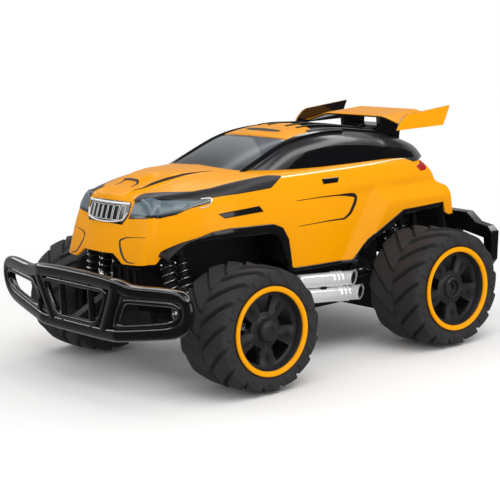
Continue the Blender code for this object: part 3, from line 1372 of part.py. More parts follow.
# Wing
def wing_height(y):
    """Height of the wing's underside: flat in the middle, sloping down to the fins."""
    share = max(abs(y) - WING_CENTRE_HALF, 0.0) / (WING_HALF_WIDTH - WING_CENTRE_HALF)
    return WING_CENTRE_Z - WING_THICKNESS - (WING_CENTRE_Z - WING_END_Z) * min(share, 1.0)


def wing():
    """Wing plate with end fins that rake up to the rear."""
    inner = WING_HALF_WIDTH - FIN_THICKNESS / 2
    spans = [-inner, -WING_CENTRE_HALF, WING_CENTRE_HALF, inner]
    rings = []
    for x, rise in ((WING_FRONT, 0.0), (WING_REAR, 1.5)):
        lower = [point(x, y, wing_height(y) + rise) for y in spans]
        upper = [point(x, y, wing_height(y) + rise + WING_THICKNESS) for y in reversed(spans)]
        rings.append(lower + upper)
    plate = skin(rings)
    front, rear, low = WING_FRONT, WING_REAR, WING_END_Z
    fin_outline = [
        (front + 12.5, low - 2.5), (front + 9.0, low + 3.0), (front + 3.5, low + 8.0),
        (front - 2.0, low + 10.0), (rear - 11.0, FIN_TOP_Z), (rear - 2.0, low - 3.5),
    ]
    for sign in (1.0, -1.0):
        ends = sorted((sign * (WING_HALF_WIDTH - FIN_THICKNESS), sign * WING_HALF_WIDTH))
        union(plate, prism(fin_outline, "y", *ends))
    return plate


def wing_mount():
    """Two flared posts that stand on the roof and carry the wing."""
    top = WING_CENTRE_Z - WING_THICKNESS - FIT
    foot = roof_at(0.175)
    front = WING_FRONT
    outline = [(front - 7.0, top), (front - 33.0, top + 0.6), (front - 29.0, foot), (front - 8.0, foot)]
    half = WING_POST_WIDTH / 2
    posts = [
        prism(outline, "y", sign * WING_POST_Y - half, sign * WING_POST_Y + half) for sign in (1.0, -1.0)
    ]
    base_top = foot + (top - foot) * 0.68
    base = box((front - 28.0, front - 9.0), (-WING_POST_Y, WING_POST_Y), (foot, base_top))
    return cut(union(posts[0], base, posts[1]), cabin_solid(-FIT))


# Bars, bumper and pipes
def swept(obj, centre_half, sweep):
    """Bends a flat frame back beyond its middle stretch."""
    bm = bmesh.new()
    bm.from_mesh(obj.data)
    for y in (centre_half, (centre_half + BAR_HALF_WIDTH) / 2):
        for sign in (1.0, -1.0):
            geom = bm.verts[:] + bm.edges[:] + bm.faces[:]
            at = point(0, sign * y, 0)
            bmesh.ops.bisect_plane(bm, geom=geom, plane_co=at, plane_no=(0, 1, 0), dist=1e-6)
    reach = (BAR_HALF_WIDTH - centre_half) * MM
    for v in bm.verts:
        share = max(abs(v.co.y) - centre_half * MM, 0.0) / reach
        v.co.x -= sweep * MM * share
    bmesh.ops.triangulate(bm, faces=[f for f in bm.faces if len(f.verts) > 4])
    bm.to_mesh(obj.data)
    bm.free()
    return obj


def symmetric(half_outline):
    return half_outline + [(-y, z) for y, z in reversed(half_outline)]


def bull_bar():
    """Thick rounded frame with a middle window behind two uprights and a tapered window at each end."""
    t, bot, end, tube = BAR_TOP, BAR_BOTTOM, BAR_HALF_WIDTH, BAR_TUBE
    step_in, step_out = 58.0, 66.0
    outline = symmetric(
        [(step_in, t), (step_out, t - 5), (end - 10, t - 6), (end, t - 13), (end, t - 22),
         (end - 22, bot + 9), (step_in, bot + 3), (step_in - 10, bot)]
    )
    frame = prism(outline, "x", BAR_FRONT - BAR_DEPTH, BAR_FRONT)
    low, high = BAR_FRONT - BAR_DEPTH - 5, BAR_FRONT + 5
    middle = symmetric([(step_in - 9, t - tube), (step_in - 8, t - tube - 5), (33, bot + tube + 1)])
    side = [
        (step_out + 1, t - 5 - tube), (end - 12, t - 6 - tube), (end - tube, t - 16),
        (end - tube - 1, t - 21), (end - 27, bot + 9 + tube), (step_in + 4, bot + 3 + tube),
        (step_in + 3, bot + 16 + tube),
    ]
    windows = [prism(middle, "x", low, high)]
    windows += [prism([(sign * y, z) for y, z in side], "x", low, high) for sign in (1.0, -1.0)]
    cut(frame, joined(windows))
    soften(frame, 2.2)
    swept(frame, step_in - 4, BAR_SWEEP)
    for y in (-13.0, 13.0):
        upright = box((BAR_FRONT - 6.5, BAR_FRONT - 2.5), (y - 2.2, y + 2.2), (bot + tube - 3, t - tube + 3))
        union(frame, upright)
    seat, front = BULKHEAD_FRONT + RIB_PROUD + FIT, BAR_FRONT
    stay = [
        (seat, bot + 16), (front - 6, bot + 1.5), (front - 3, bot + 6), (front - 6, bot + 8),
        (seat, bot + 28),
    ]
    for sign in (1.0, -1.0):
        union(frame, prism(stay, "y", *sorted((sign * 10.0, sign * 20.0))))
    return frame


def rear_bumper():
    """Moulded rear bumper with a raised middle and swept ends, on two stays."""
    t, bot, end = BUMPER_TOP, BUMPER_BOTTOM, BUMPER_HALF_WIDTH
    outline = symmetric(
        [(end - 34, t), (end - 22, t - 8), (end - 6, t - 10), (end, t - 15), (end - 3, bot + 6),
         (end - 9, bot), (end - 50, bot - 4)]
    )
    plate = prism(outline, "x", BUMPER_REAR, BUMPER_REAR + BUMPER_DEPTH)
    low, high = BUMPER_REAR - 5, BUMPER_REAR + BUMPER_DEPTH + 5
    windows = [prism(symmetric([(end - 66, t - 12), (end - 76, bot + 8)]), "x", low, high)]
    side = [
        (end - 48, t - 16), (end - 26, t - 19), (end - 12, t - 21), (end - 12, bot + 12), (end - 52, bot + 9),
    ]
    for sign in (1.0, -1.0):
        windows.append(prism([(sign * y, z) for y, z in side], "x", low, high))
    cut(plate, joined(windows))
    soften(plate, 2.2)
    swept(plate, 50.0, -BAR_SWEEP * 0.6)
    seat, front = RAIL_REAR - 3.0 - FIT, BUMPER_REAR + 4
    stay = [(seat, t - 4), (front, t - 2), (front, t - 8), (seat, t - 16)]
    for sign in (1.0, -1.0):
        union(plate, prism(stay, "y", *sorted((sign * 14.0, sign * 24.0))))
    return plate


def pipe(tail_x, z):
    """One chromed pipe with three ridges, open at its tail; distances run forward from the tail."""
    r, ridge = PIPE_RADIUS - 0.6, PIPE_RADIUS
    profile = [(0.0, 14.0), (r - 1.4, 14.0), (r - 1.4, 0.0), (ridge, 0.0), (r, 3.0)]
    for middle in (17.0, 21.5, 26.0):
        profile += [(r, middle - 1.4), (ridge, middle), (r, middle + 1.4)]
    profile += [(r, PIPE_LENGTH - 2.0), (0.0, PIPE_LENGTH)]
    return lathe(profile, (tail_x, PIPE_Y, z), (1.0, 0.0, 0.0), 8)


def exhaust():
    """Twin pipes of one side on a bracket that reaches the chassis."""
    upper = pipe(PIPE_UPPER_TAIL, PIPE_UPPER_Z)
    lower = pipe(PIPE_LOWER_TAIL, PIPE_LOWER_Z)
    at = PIPE_UPPER_TAIL + 41.0
    clamp = box((at - 3.0, at + 3.0), (PIPE_Y - 3.0, PIPE_Y + 2.0), (PIPE_LOWER_Z, PIPE_UPPER_Z))
    strut_z = (PIPE_LOWER_Z + 3.0, PIPE_LOWER_Z + 10.0)
    strut = box((at - 2.0, at + 2.0), (TUB_HALF_WIDTH + FIT, PIPE_Y), strut_z)
    return union(upper, clamp, lower, strut)


def make_outside(mats):
    finish(wing_mount(), "wing_mount", mats["gloss_black"])
    finish(wing(), "wing", mats["orange"])
    finish(bull_bar(), "bull_bar", mats["gloss_black"])
    finish(rear_bumper(), "rear_bumper", mats["black"])
    pair(exhaust(), "exhaust", mats["chrome"], (0.0, 0.0, 0.0))


def gather(parent_name, place, names):
    """Parents pieces to an empty that stands on the axis they share."""
    empty = bpy.data.objects.new(parent_name, None)
    empty.location = point(*place)
    bpy.context.collection.objects.link(empty)
    for name in names:
        piece = bpy.data.objects[name]
        piece.location -= empty.location
        piece.parent = empty


def main():
    clear_scene()
    mats = make_materials()
    make_wheels(mats)
    make_front(mats)
    make_shocks(mats)
    make_rear(mats)
    make_chassis(mats)
    make_body(mats)
    make_outside(mats)
    for hand, sign in (("left", 1.0), ("right", -1.0)):
        centre = (FRONT_AXLE_X, sign * WHEEL_Y, WHEEL_Z)
        gather(f"front_wheel_{hand}", centre, [f"tyre_front_{hand}", f"rim_front_{hand}"])
    driven = ["rear_axle_shaft", "spur_gear"]
    driven += [f"{piece}_rear_{hand}" for piece in ("tyre", "rim") for hand in ("left", "right")]
    gather("rear_axle_line", (REAR_AXLE_X, 0.0, WHEEL_Z), driven)


main()
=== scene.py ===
# %% [markdown]
# # A radio-controlled monster truck in Blender
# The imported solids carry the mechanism: arms, knuckles, axle, shocks. This lesson dresses them. Pieces whose
# facets are too coarse for the eye are drawn again as smooth surfaces worked out with numpy, and the rest
# keep their solid with softer edges and a finish of their own. Lengths are millimetres until they enter a
# mesh.

# %% Load the solids
import json
import math

import bmesh
import bpy
import numpy as np
from mathutils import Matrix, Vector

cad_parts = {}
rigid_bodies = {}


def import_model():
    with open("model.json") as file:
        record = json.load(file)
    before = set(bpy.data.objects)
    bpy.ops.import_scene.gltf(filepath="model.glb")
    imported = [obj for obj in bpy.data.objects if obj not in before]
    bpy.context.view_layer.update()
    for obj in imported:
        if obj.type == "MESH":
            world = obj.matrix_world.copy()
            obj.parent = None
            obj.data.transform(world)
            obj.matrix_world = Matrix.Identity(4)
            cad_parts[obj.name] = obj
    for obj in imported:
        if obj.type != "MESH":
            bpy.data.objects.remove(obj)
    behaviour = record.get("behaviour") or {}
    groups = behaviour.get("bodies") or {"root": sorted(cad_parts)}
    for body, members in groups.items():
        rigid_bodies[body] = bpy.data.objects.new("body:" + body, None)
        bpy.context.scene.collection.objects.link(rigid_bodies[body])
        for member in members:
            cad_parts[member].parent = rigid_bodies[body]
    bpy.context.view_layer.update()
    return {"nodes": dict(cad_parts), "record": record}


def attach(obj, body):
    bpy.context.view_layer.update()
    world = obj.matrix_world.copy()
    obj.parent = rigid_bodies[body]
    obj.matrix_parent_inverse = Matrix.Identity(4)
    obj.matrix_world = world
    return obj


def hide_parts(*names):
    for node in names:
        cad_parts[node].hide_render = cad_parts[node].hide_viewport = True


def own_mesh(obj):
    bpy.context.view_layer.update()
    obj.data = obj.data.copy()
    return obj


for left_over in list(bpy.data.objects):
    bpy.data.objects.remove(left_over, do_unlink=True)
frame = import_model()
scene = bpy.context.scene
MM = 0.001
X_AXIS, Z_AXIS = (1.0, 0.0, 0.0), (0.0, 0.0, 1.0)
MIRROR = (1.0, -1.0, 1.0)
HANDS = (("left", 1.0), ("right", -1.0))
CORNERS = [(end, hand, sign) for end in ("front", "rear") for hand, sign in HANDS]

# %% [markdown]
# ## Camera
# The camera stands ahead of the truck's left side, a little above its hood, and far back with a long lens, as
# a catalogue picture is taken. It is rolled a few degrees about its own axis.

# %% Camera
CAMERA_AZIMUTH, CAMERA_HEIGHT, CAMERA_ROLL = (math.radians(a) for a in (37.818, 10.082, -3.198))
CAMERA_TARGET = Vector((9.04, 0.0, 85.12))
CAMERA_DISTANCE, CAMERA_LENS, FILM_WIDTH = 1478.4, 123.48, 36.0

flat = math.cos(CAMERA_HEIGHT)
back = Vector((math.sin(CAMERA_AZIMUTH) * flat, math.cos(CAMERA_AZIMUTH) * flat, math.sin(CAMERA_HEIGHT)))
level = Vector(Z_AXIS).cross(back).normalized()
upright = back.cross(level)
right = level * math.cos(CAMERA_ROLL) + upright * math.sin(CAMERA_ROLL)
up = upright * math.cos(CAMERA_ROLL) - level * math.sin(CAMERA_ROLL)
camera = bpy.data.objects.new("camera", bpy.data.cameras.new("camera"))
scene.collection.objects.link(camera)
camera.data.lens = CAMERA_LENS
camera.data.sensor_width = FILM_WIDTH
turn = Matrix((right, up, back)).transposed().to_4x4()
camera.matrix_world = Matrix.Translation((CAMERA_TARGET + back * CAMERA_DISTANCE) * MM) @ turn
scene.camera = camera
scene.view_settings.view_transform = "Standard"
print("camera at", [round(c, 3) for c in camera.matrix_world.translation])


# %% [markdown]
# ## Node helpers
# Every finish below is a small tree of shader nodes. One function adds a node and fills its sockets, the next
# few add the kinds that come up again and again, and one turns the hex colours of a paint card into linear
# values.

# %% Node helpers
def hex_colour(code):
    """sRGB hex to linear: below 0.04045 a straight line, above it the 2.4 power of the sRGB curve."""
    values = np.array([int(code[i : i + 2], 16) for i in (1, 3, 5)]) / 255.0
    linear = np.where(values <= 0.04045, values / 12.92, ((values + 0.055) / 1.055) ** 2.4)
    return (*linear.tolist(), 1.0)


def fill(tree, node, sockets):
    """Sets a node's sockets to numbers or hex colours, or links them where the value is a node's output."""
    for key, value in sockets.items():
        socket = node.inputs[key.replace("_", " ") if isinstance(key, str) else key]
        if isinstance(value, bpy.types.NodeSocket):
            tree.links.new(value, socket)
        else:
            socket.default_value = hex_colour(value) if isinstance(value, str) else value


def add(tree, kind, sockets=None, **options):
    """Adds a node, sets its options, then fills its sockets."""
    made = tree.nodes.new(kind)
    for option, value in options.items():
        setattr(made, option, value)
    fill(tree, made, sockets or {})
    return made


def noise(tree, place, scale, detail):
    """A smooth noise about a half, of scale waves a metre."""
    return add(tree, "ShaderNodeTexNoise", {"Vector": place, "Scale": scale, "Detail": detail}).outputs["Fac"]


def mix_of(tree, share, first, second):
    """A colour that goes from first to second as share goes from 0 to 1."""
    sockets = {"Factor": share, "A": first, "B": second}
    return add(tree, "ShaderNodeMix", sockets, data_type="RGBA").outputs["Result"]


def ramp(tree, value, start=(0.0, 1.0), end=(0.0, 1.0), **options):
    """Maps the range start onto the range end by a straight line, held at both ends."""
    sockets = {"Value": value, "From Min": start[0], "From Max": start[1], "To Min": end[0], "To Max": end[1]}
    return add(tree, "ShaderNodeMapRange", sockets, **options).outputs["Result"]


def worked_out(tree, operation, *values):
    """One step of arithmetic on numbers or on outputs."""
    return add(tree, "ShaderNodeMath", dict(enumerate(values)), operation=operation).outputs[0]


def new_material(name):
    """A material with its tree, its Principled shader and the object coordinates that its patterns read."""
    made = bpy.data.materials.new(name)
    made.use_nodes = True
    tree = made.node_tree
    return made, tree, tree.nodes["Principled BSDF"], add(tree, "ShaderNodeTexCoord").outputs["Object"]


# %% [markdown]
# ## Finishes
# The truck is mostly injection-moulded ABS, painted or left glossy. Close up such a skin has a faint ripple,
# the orange peel of the paint, and a gloss that wanders a little. Nylon parts come out of a spark-eroded
# mould with a fine grain, and rubber is dull with a powdery bloom. Each finish mixes two close tones, lets
# its roughness wander, and lifts a fine bump from the same noise.

# %% Moulded and metal finishes
def moulded(name, tone, shade, rough, wander, grain_mm, bump_mm, patch_mm=30.0, **shader_values):
    """Tones mixed by a noise of patch_mm; roughness wanders about rough; bump from a noise of grain_mm."""
    made, tree, shader, place = new_material(name)
    patch = noise(tree, place, 1000.0 / patch_mm, 3.0)
    grain = noise(tree, place, 1000.0 / grain_mm, 2.0)
    bump = add(tree, "ShaderNodeBump", {"Height": grain, "Strength": 0.6, "Distance": bump_mm * MM})
    surface = {
        "Base Color": mix_of(tree, patch, tone, shade),
        "Roughness": ramp(tree, patch, end=(rough - wander, rough + wander)),
        "Normal": bump.outputs["Normal"],
    }
    fill(tree, shader, {**surface, **shader_values})
    return made


# The grain sizes are drawn coarser than the real 0.1 to 0.3 mm, because finer would not show in the picture
ORANGE = moulded(
    "painted_abs_orange", "#F5A200", "#F29C00", 0.3, 0.05, 2.5, 0.02,
    Coat_Weight=0.06, Coat_Roughness=0.06, Specular_IOR_Level=0.1,
)
BLACK_GLOSS = moulded("gloss_abs_black", "#0C0C0D", "#121213", 0.16, 0.04, 3.0, 0.02, Coat_Weight=0.4)
# painted reflection: glossy black lifted to grey, standing for the white that the greenhouse mirrors
PAINTED_SHEEN_BLACK = moulded("gloss_black_painted_sheen", "#29292C", "#323235", 0.22, 0.05, 3.0, 0.02, Coat_Weight=0.3)
SATIN = moulded("satin_abs_black", "#242426", "#2C2C2E", 0.36, 0.08, 2.0, 0.03, Specular_IOR_Level=0.35)
NYLON = moulded("moulded_nylon_black", "#18181A", "#202021", 0.52, 0.1, 0.9, 0.05, Specular_IOR_Level=0.25)
RUBBER = moulded("tyre_rubber", "#2B2B2D", "#363638", 0.72, 0.1, 1.2, 0.08, 18.0, Specular_IOR_Level=0.2)
STEEL = moulded("spring_steel", "#C9CBCD", "#AEB1B5", 0.24, 0.08, 1.0, 0.02, 6.0, Metallic=1.0)
CHROME = moulded("chrome_plate", "#F4F5F6", "#E8EAEC", 0.1, 0.03, 4.0, 0.01, 14.0, Metallic=0.3)
BRASS = moulded("machined_brass", "#C79A4B", "#A87F38", 0.28, 0.08, 0.8, 0.03, 4.0, Metallic=1.0)
WHITE_NYLON = moulded("natural_nylon", "#DCD8CC", "#CFCABC", 0.45, 0.08, 0.9, 0.04)
GLASS_BLACK = moulded("tinted_window", "#0B0B0D", "#121215", 0.14, 0.03, 6.0, 0.01, Specular_IOR_Level=0.12)
LENS = moulded("fluted_lens", "#68777F", "#57656D", 0.16, 0.04, 3.0, 0.01, 40.0, Specular_IOR_Level=0.4)
RED_LENS = moulded("red_lens", "#C21210", "#8E0B0A", 0.14, 0.04, 1.6, 0.06, 4.0, Coat_Weight=1.0)
# painted highlight: a pale strip that stands for the light on the body's shoulder under the side windows
PAINTED_HIGHLIGHT = moulded("painted_shoulder_highlight", "#FFF1D2", "#FBE7BE", 0.35, 0.06, 1.5, 0.02)
# painted shade: dark strips that stand for the shade in grooves, slots and panel lines
GROOVE_SHADE = moulded("groove_shadow", "#17110A", "#22190E", 0.5, 0.08, 1.2, 0.03)
WRAP = moulded("battery_wrap", "#1B4E9B", "#163F7F", 0.3, 0.06, 1.6, 0.05)


# %% [markdown]
# ## A painted reflection and a circuit board
# The windscreen is smoked plastic with a painted reflection of a studio: a pale upper corner fades to dark at
# its foot, with a diagonal edge between. The painted reflection is drawn by place on the glass, so it does
# not follow the eye. The circuit board has copper tracks under green lacquer.

# %% Windscreen film and circuit board
def windscreen_painted_reflection():
    """Painted reflection: grey falls off down the glass; past a slanted edge, by x less a share of y, cooler
    grey.
    """
    made, tree, shader, place = new_material("windscreen_painted_reflection")
    axes = add(tree, "ShaderNodeSeparateXYZ", {"Vector": place}).outputs
    fall = ramp(tree, axes["X"], (-0.004, 0.052), (1.0, 0.0))
    slant = worked_out(tree, "MULTIPLY_ADD", axes["Y"], -0.55, axes["X"])
    glare = mix_of(tree, fall, "#46494B", "#8A8F92")
    cool = mix_of(tree, fall, "#4C4F56", "#595D65")
    both = mix_of(tree, ramp(tree, slant, (0.001, 0.003)), cool, glare)
    fill(tree, shader, {"Base Color": both, "Roughness": 0.2, "Specular IOR Level": 0.1})
    return made


def board_lacquer():
    """Tracks where a brick pattern's mortar runs, copper seen through green."""
    made, tree, shader, place = new_material("circuit_lacquer")
    colours = {"Color1": "#0E5A2B", "Color2": "#0B4A24", "Mortar": "#2F8F4E"}
    sizes = {"Scale": 120.0, "Mortar Size": 0.04}
    tracks = add(tree, "ShaderNodeTexBrick", {"Vector": place, **colours, **sizes})
    fill(tree, shader, {"Base Color": tracks.outputs["Color"], "Roughness": 0.35, "Coat Weight": 0.4})
    return made


WINDSCREEN = windscreen_painted_reflection()
LACQUER = board_lacquer()
print("finishes:", len(bpy.data.materials))


# %% [markdown]
# ## Floor and light
# A pale floor, a soft white surround and two large lamps light the truck evenly. Glossy black shows its shape
# by what it mirrors, so mirrors see another surround: a dark room with two strips of light and a pale back
# wall.

# %% Floor and light
FLOOR_HALF, FADE_START, FADE_END = 1.1, 0.24, 0.7
SURROUND, STRIP_GLOW = 0.88, 4.0


def pale_floor():
    """White paper under the tyres that takes the truck's shadow and fades to nothing beyond it."""
    made, tree, shader, place = new_material("studio_paper")
    paper = mix_of(tree, noise(tree, place, 60.0, 4.0), "#FAFAF9", "#FDFDFC")
    fill(tree, shader, {"Base Color": paper, "Roughness": 0.9, "Specular IOR Level": 0.1})
    far = add(tree, "ShaderNodeVectorMath", {0: place}, operation="LENGTH").outputs["Value"]
    fade = ramp(tree, far, (FADE_START, FADE_END), interpolation_type="SMOOTHSTEP")
    clear = add(tree, "ShaderNodeBsdfTransparent")
    blend = add(tree, "ShaderNodeMixShader", {0: fade, 1: shader.outputs[0], 2: clear.outputs[0]})
    fill(tree, tree.nodes["Material Output"], {"Surface": blend.outputs[0]})
    corners = np.array([(-1, -1, 0), (1, -1, 0), (1, 1, 0), (-1, 1, 0)]) * FLOOR_HALF
    mesh = bpy.data.meshes.new("floor")
    mesh.from_pydata(corners.tolist(), [], [(0, 1, 2, 3)])
    mesh.materials.append(made)
    floor = bpy.data.objects.new("floor", mesh)
    floor.visible_glossy = False
    scene.collection.objects.link(floor)


def area_lamp(name, place, size, power):
    """A square soft box that looks at the truck's middle."""
    lamp = bpy.data.lights.new(name, "AREA")
    lamp.energy = power
    lamp.size = size
    made = bpy.data.objects.new(name, lamp)
    made.location = place
    aim = Vector((0.0, 0.0, 0.08)) - Vector(place)
    made.rotation_euler = aim.to_track_quat("-Z", "Y").to_euler()
    scene.collection.objects.link(made)


def soft_surround():
    """White to the camera. Mirrors see a high strip all round, a low one ahead on the right, a back wall."""
    world = bpy.data.worlds.new("surround")
    world.use_nodes = True
    tree = world.node_tree
    ray = add(tree, "ShaderNodeLightPath").outputs
    aim = add(tree, "ShaderNodeTexCoord").outputs["Generated"]
    x, y, z = add(tree, "ShaderNodeSeparateXYZ", {"Vector": aim}).outputs
    toward = add(tree, "ShaderNodeVectorMath", {0: aim, 1: tuple(back)}, operation="DOT_PRODUCT")
    wall = ramp(tree, toward.outputs["Value"], (-0.9, 0.0), (0.4, 0.04), interpolation_type="SMOOTHSTEP")
    high_strip = worked_out(tree, "COMPARE", z, 0.7, 0.06)
    low_strip = worked_out(tree, "COMPARE", z, 0.4, 0.05)
    ahead_right = worked_out(tree, "GREATER_THAN", worked_out(tree, "SUBTRACT", x, y), 0.7)
    strips = worked_out(tree, "MULTIPLY_ADD", low_strip, ahead_right, high_strip)
    room = worked_out(tree, "MULTIPLY_ADD", strips, STRIP_GLOW, wall)
    lit = ramp(tree, ray["Is Glossy Ray"], end=(SURROUND, room))
    seen = worked_out(tree, "MAXIMUM", ray["Is Camera Ray"], ray["Is Transmission Ray"])
    fill(tree, tree.nodes["Background"], {"Color": "#FFFFFF", "Strength": ramp(tree, seen, end=(lit, 1.0))})
    scene.world = world


pale_floor()
soft_surround()
area_lamp("key_lamp", (0.1, 0.75, 1.25), 0.9, 5.5)
area_lamp("side_lamp", (-0.3, 1.3, 0.3), 0.7, 2.6)


# %% [markdown]
# ## Surfaces from arrays
# A surface is a grid of points: rows along one parameter, columns along the other. The same few functions
# turn a profile about an axis, carry a section along a path, or stretch a sheet between two edges. All of
# them give an array, and one function puts an array into a mesh that rides on a body of the mechanism.

# %% Grid and mesh helpers
MERGE = 2e-6


def grid_faces(rows, columns, wrap_rows=False, wrap_columns=False):
    """Quads of a grid: corner (i, j), (i, j+1), (i+1, j+1), (i+1, j), going round where it wraps."""
    i, j = np.indices((rows - (not wrap_rows), columns - (not wrap_columns)))
    down, across = (i + 1) % rows, (j + 1) % columns
    quads = np.stack([i * columns + j, i * columns + across, down * columns + across, down * columns + j], -1)
    return quads.reshape(-1, 4)


def sheet_of(points, wrap_rows=False, wrap_columns=False):
    """(vertices, faces) of a grid of points."""
    return points.reshape(-1, 3), grid_faces(*points.shape[:2], wrap_rows, wrap_columns)


def together(*parts):
    """Several (vertices, faces) as one."""
    starts = np.cumsum([0] + [len(v) for v, _ in parts])
    faces = [(np.asarray(face) + s).tolist() for (_, f), s in zip(parts, starts) for face in f]
    return np.concatenate([v for v, _ in parts]), faces


def shown(name, mesh, finish, body, replaces, sharp=30.0):
    """Puts a mesh in the scene: smooth but for its sharp edges, riding on a body, standing for solids."""
    mesh.shade_smooth()
    mesh.set_sharp_from_angle(angle=math.radians(sharp))
    mesh.materials.clear()
    mesh.materials.append(finish)
    made = bpy.data.objects.new(name, mesh)
    scene.collection.objects.link(made)
    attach(made, body)
    if replaces:
        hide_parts(*replaces)
    return made


def piece(name, shape, finish, replaces=(), body="chassis", closed=True, sharp=35.0, facing=None):
    """A mesh from (vertices in mm, faces): doubles merged, faces turned outwards or, if open, to a side."""
    vertices, faces = shape
    mesh = bpy.data.meshes.new(name)
    mesh.from_pydata((np.asarray(vertices) * MM).tolist(), [], np.asarray(faces, dtype=object).tolist())
    bm = bmesh.new()
    bm.from_mesh(mesh)
    bmesh.ops.remove_doubles(bm, verts=bm.verts, dist=MERGE)
    bmesh.ops.dissolve_degenerate(bm, edges=bm.edges, dist=MERGE / 2)
    if closed:
        bmesh.ops.recalc_face_normals(bm, faces=bm.faces)
    if facing:
        bm.normal_update()
        if sum((f.normal for f in bm.faces), Vector()).dot(facing) < 0.0:
            bmesh.ops.reverse_faces(bm, faces=bm.faces)
    bm.to_mesh(mesh)
    bm.free()
    return shown(name, mesh, finish, body, replaces, sharp)


def rounded(points, times=3, closed=False):
    """Chaikin's corner cutting along axis -2: each edge gives points at its quarter and three quarters."""
    points = np.asarray(points, float)
    for _ in range(times):
        following = np.roll(points, -1, axis=-2)
        near, far = 0.75 * points + 0.25 * following, 0.25 * points + 0.75 * following
        cut = np.stack([near, far], -2).reshape(*points.shape[:-2], -1, points.shape[-1])
        if closed:
            points = cut
        else:
            points = np.concatenate([points[..., :1, :], cut[..., :-2, :], points[..., -1:, :]], -2)
    return points


def evenly(points, count):
    """The same line with count points spaced evenly along its length, or at an array of shares of it."""
    points = np.asarray(points, float)
    run = np.concatenate([[0.0], np.cumsum(np.linalg.norm(np.diff(points, axis=0), axis=1))])
    at = run[-1] * (np.linspace(0.0, 1.0, count) if np.isscalar(count) else count)
    return np.stack([np.interp(at, run, points[:, k]) for k in range(points.shape[1])], -1)


def evenly_round(outline, count):
    """A closed outline with count points spaced evenly along it."""
    return evenly(np.concatenate([outline, outline[:1]]), count + 1)[:-1]


def step(value, low, high):
    """Smooth step: 0 below low, 1 above high, 3t^2 - 2t^3 between."""
    t = np.clip((value - low) / (high - low), 0.0, 1.0)
    return t * t * (3.0 - 2.0 * t)


def unit(vectors):
    """Each vector of an array divided by its length."""
    return vectors / np.linalg.norm(vectors, axis=-1, keepdims=True)


def with_mirror(left):
    """Lines of the left half, each from the middle outwards, carried on over the middle to the right edge."""
    return np.concatenate([left[:, :0:-1] * MIRROR, left], 1)


def turned(profile, start, direction, sides):
    """Lathe: each (radius, distance) goes round the line start + distance * direction."""
    profile = np.asarray(profile, float)
    axis = np.asarray(direction, float) / np.linalg.norm(direction)
    first = np.cross(axis, Z_AXIS if abs(axis[2]) < 0.9 else X_AXIS)
    first /= np.linalg.norm(first)
    angle = np.linspace(0.0, math.tau, sides, endpoint=False)[:, None]
    ring = np.cos(angle) * first + np.sin(angle) * np.cross(axis, first)
    middle = np.asarray(start, float) + profile[:, 1:] * axis
    return sheet_of(middle[:, None] + profile[:, :1, None] * ring[None], wrap_columns=True)


def carried(path, section, side=X_AXIS, closed=False):
    """Sweep: a section's first number goes along side, its second along path direction x side.

    One section serves the whole path, or an array gives one for each of its points."""
    path = np.asarray(path, float)
    section = np.broadcast_to(section, (len(path), *np.shape(section)[-2:]))
    ahead = unit(np.roll(path, -1, 0) - np.roll(path, 1, 0) if closed else np.gradient(path, axis=0))
    side = np.broadcast_to(np.asarray(side, float), path.shape)
    side = unit(side - (side * ahead).sum(1, keepdims=True) * ahead)
    other = np.cross(ahead, side)
    points = path[:, None] + section[..., :1] * side[:, None] + section[..., 1:] * other[:, None]
    vertices, faces = sheet_of(points, wrap_rows=closed, wrap_columns=True)
    if closed:
        return vertices, faces
    around = section.shape[1]
    ends = [list(range(around)), list(range(len(vertices) - around, len(vertices)))]
    return vertices, faces.tolist() + ends


def oval(width, height, count=16, power=2.0):
    """Superellipse: |2a/width|^power + |2b/height|^power = 1."""
    angle = np.linspace(0.0, math.tau, count, endpoint=False)
    ring = np.stack([np.cos(angle), np.sin(angle)], -1)
    return np.sign(ring) * np.abs(ring) ** (2 / power) * (width / 2, height / 2)


def plate(outline, axis, low, high):
    """A flat outline of (y, z), (x, z) or (x, y) points, extruded along x, y or z."""
    outline = np.asarray(outline, float)
    order = {"x": (2, 0, 1), "y": (0, 2, 1), "z": (0, 1, 2)}[axis]
    flat = [np.column_stack([outline, np.full(len(outline), h)])[:, order] for h in (low, high)]
    count = len(outline)
    walls = grid_faces(2, count, wrap_columns=True).tolist()
    return np.concatenate(flat), walls + [list(range(count)), list(range(count, 2 * count))]


def bevelled(made, width):
    """Rounds a piece's sharp edges with a Bevel modifier."""
    edge = made.modifiers.new("edges", "BEVEL")
    edge.width = width * MM
    edge.segments = 2
    edge.limit_method = "ANGLE"
    edge.angle_limit = math.radians(30.0)
    edge.harden_normals = True
    return made


def walled(made, thickness, inner=None):
    """Gives an open skin its thickness on the inside; the inner faces may have another finish."""
    wall = made.modifiers.new("wall", "SOLIDIFY")
    wall.thickness = thickness * MM
    wall.offset = -1.0
    if inner:
        made.data.materials.append(inner)
        wall.material_offset = 1
    return made


# %% [markdown]
# ## Mouldings that keep their solid
# Arms, knuckles, servo, gear case and tub already have their shape. A copy of each solid is merged, its flat
# faces joined, and its edges rounded, so that they catch light as moulded nylon does.

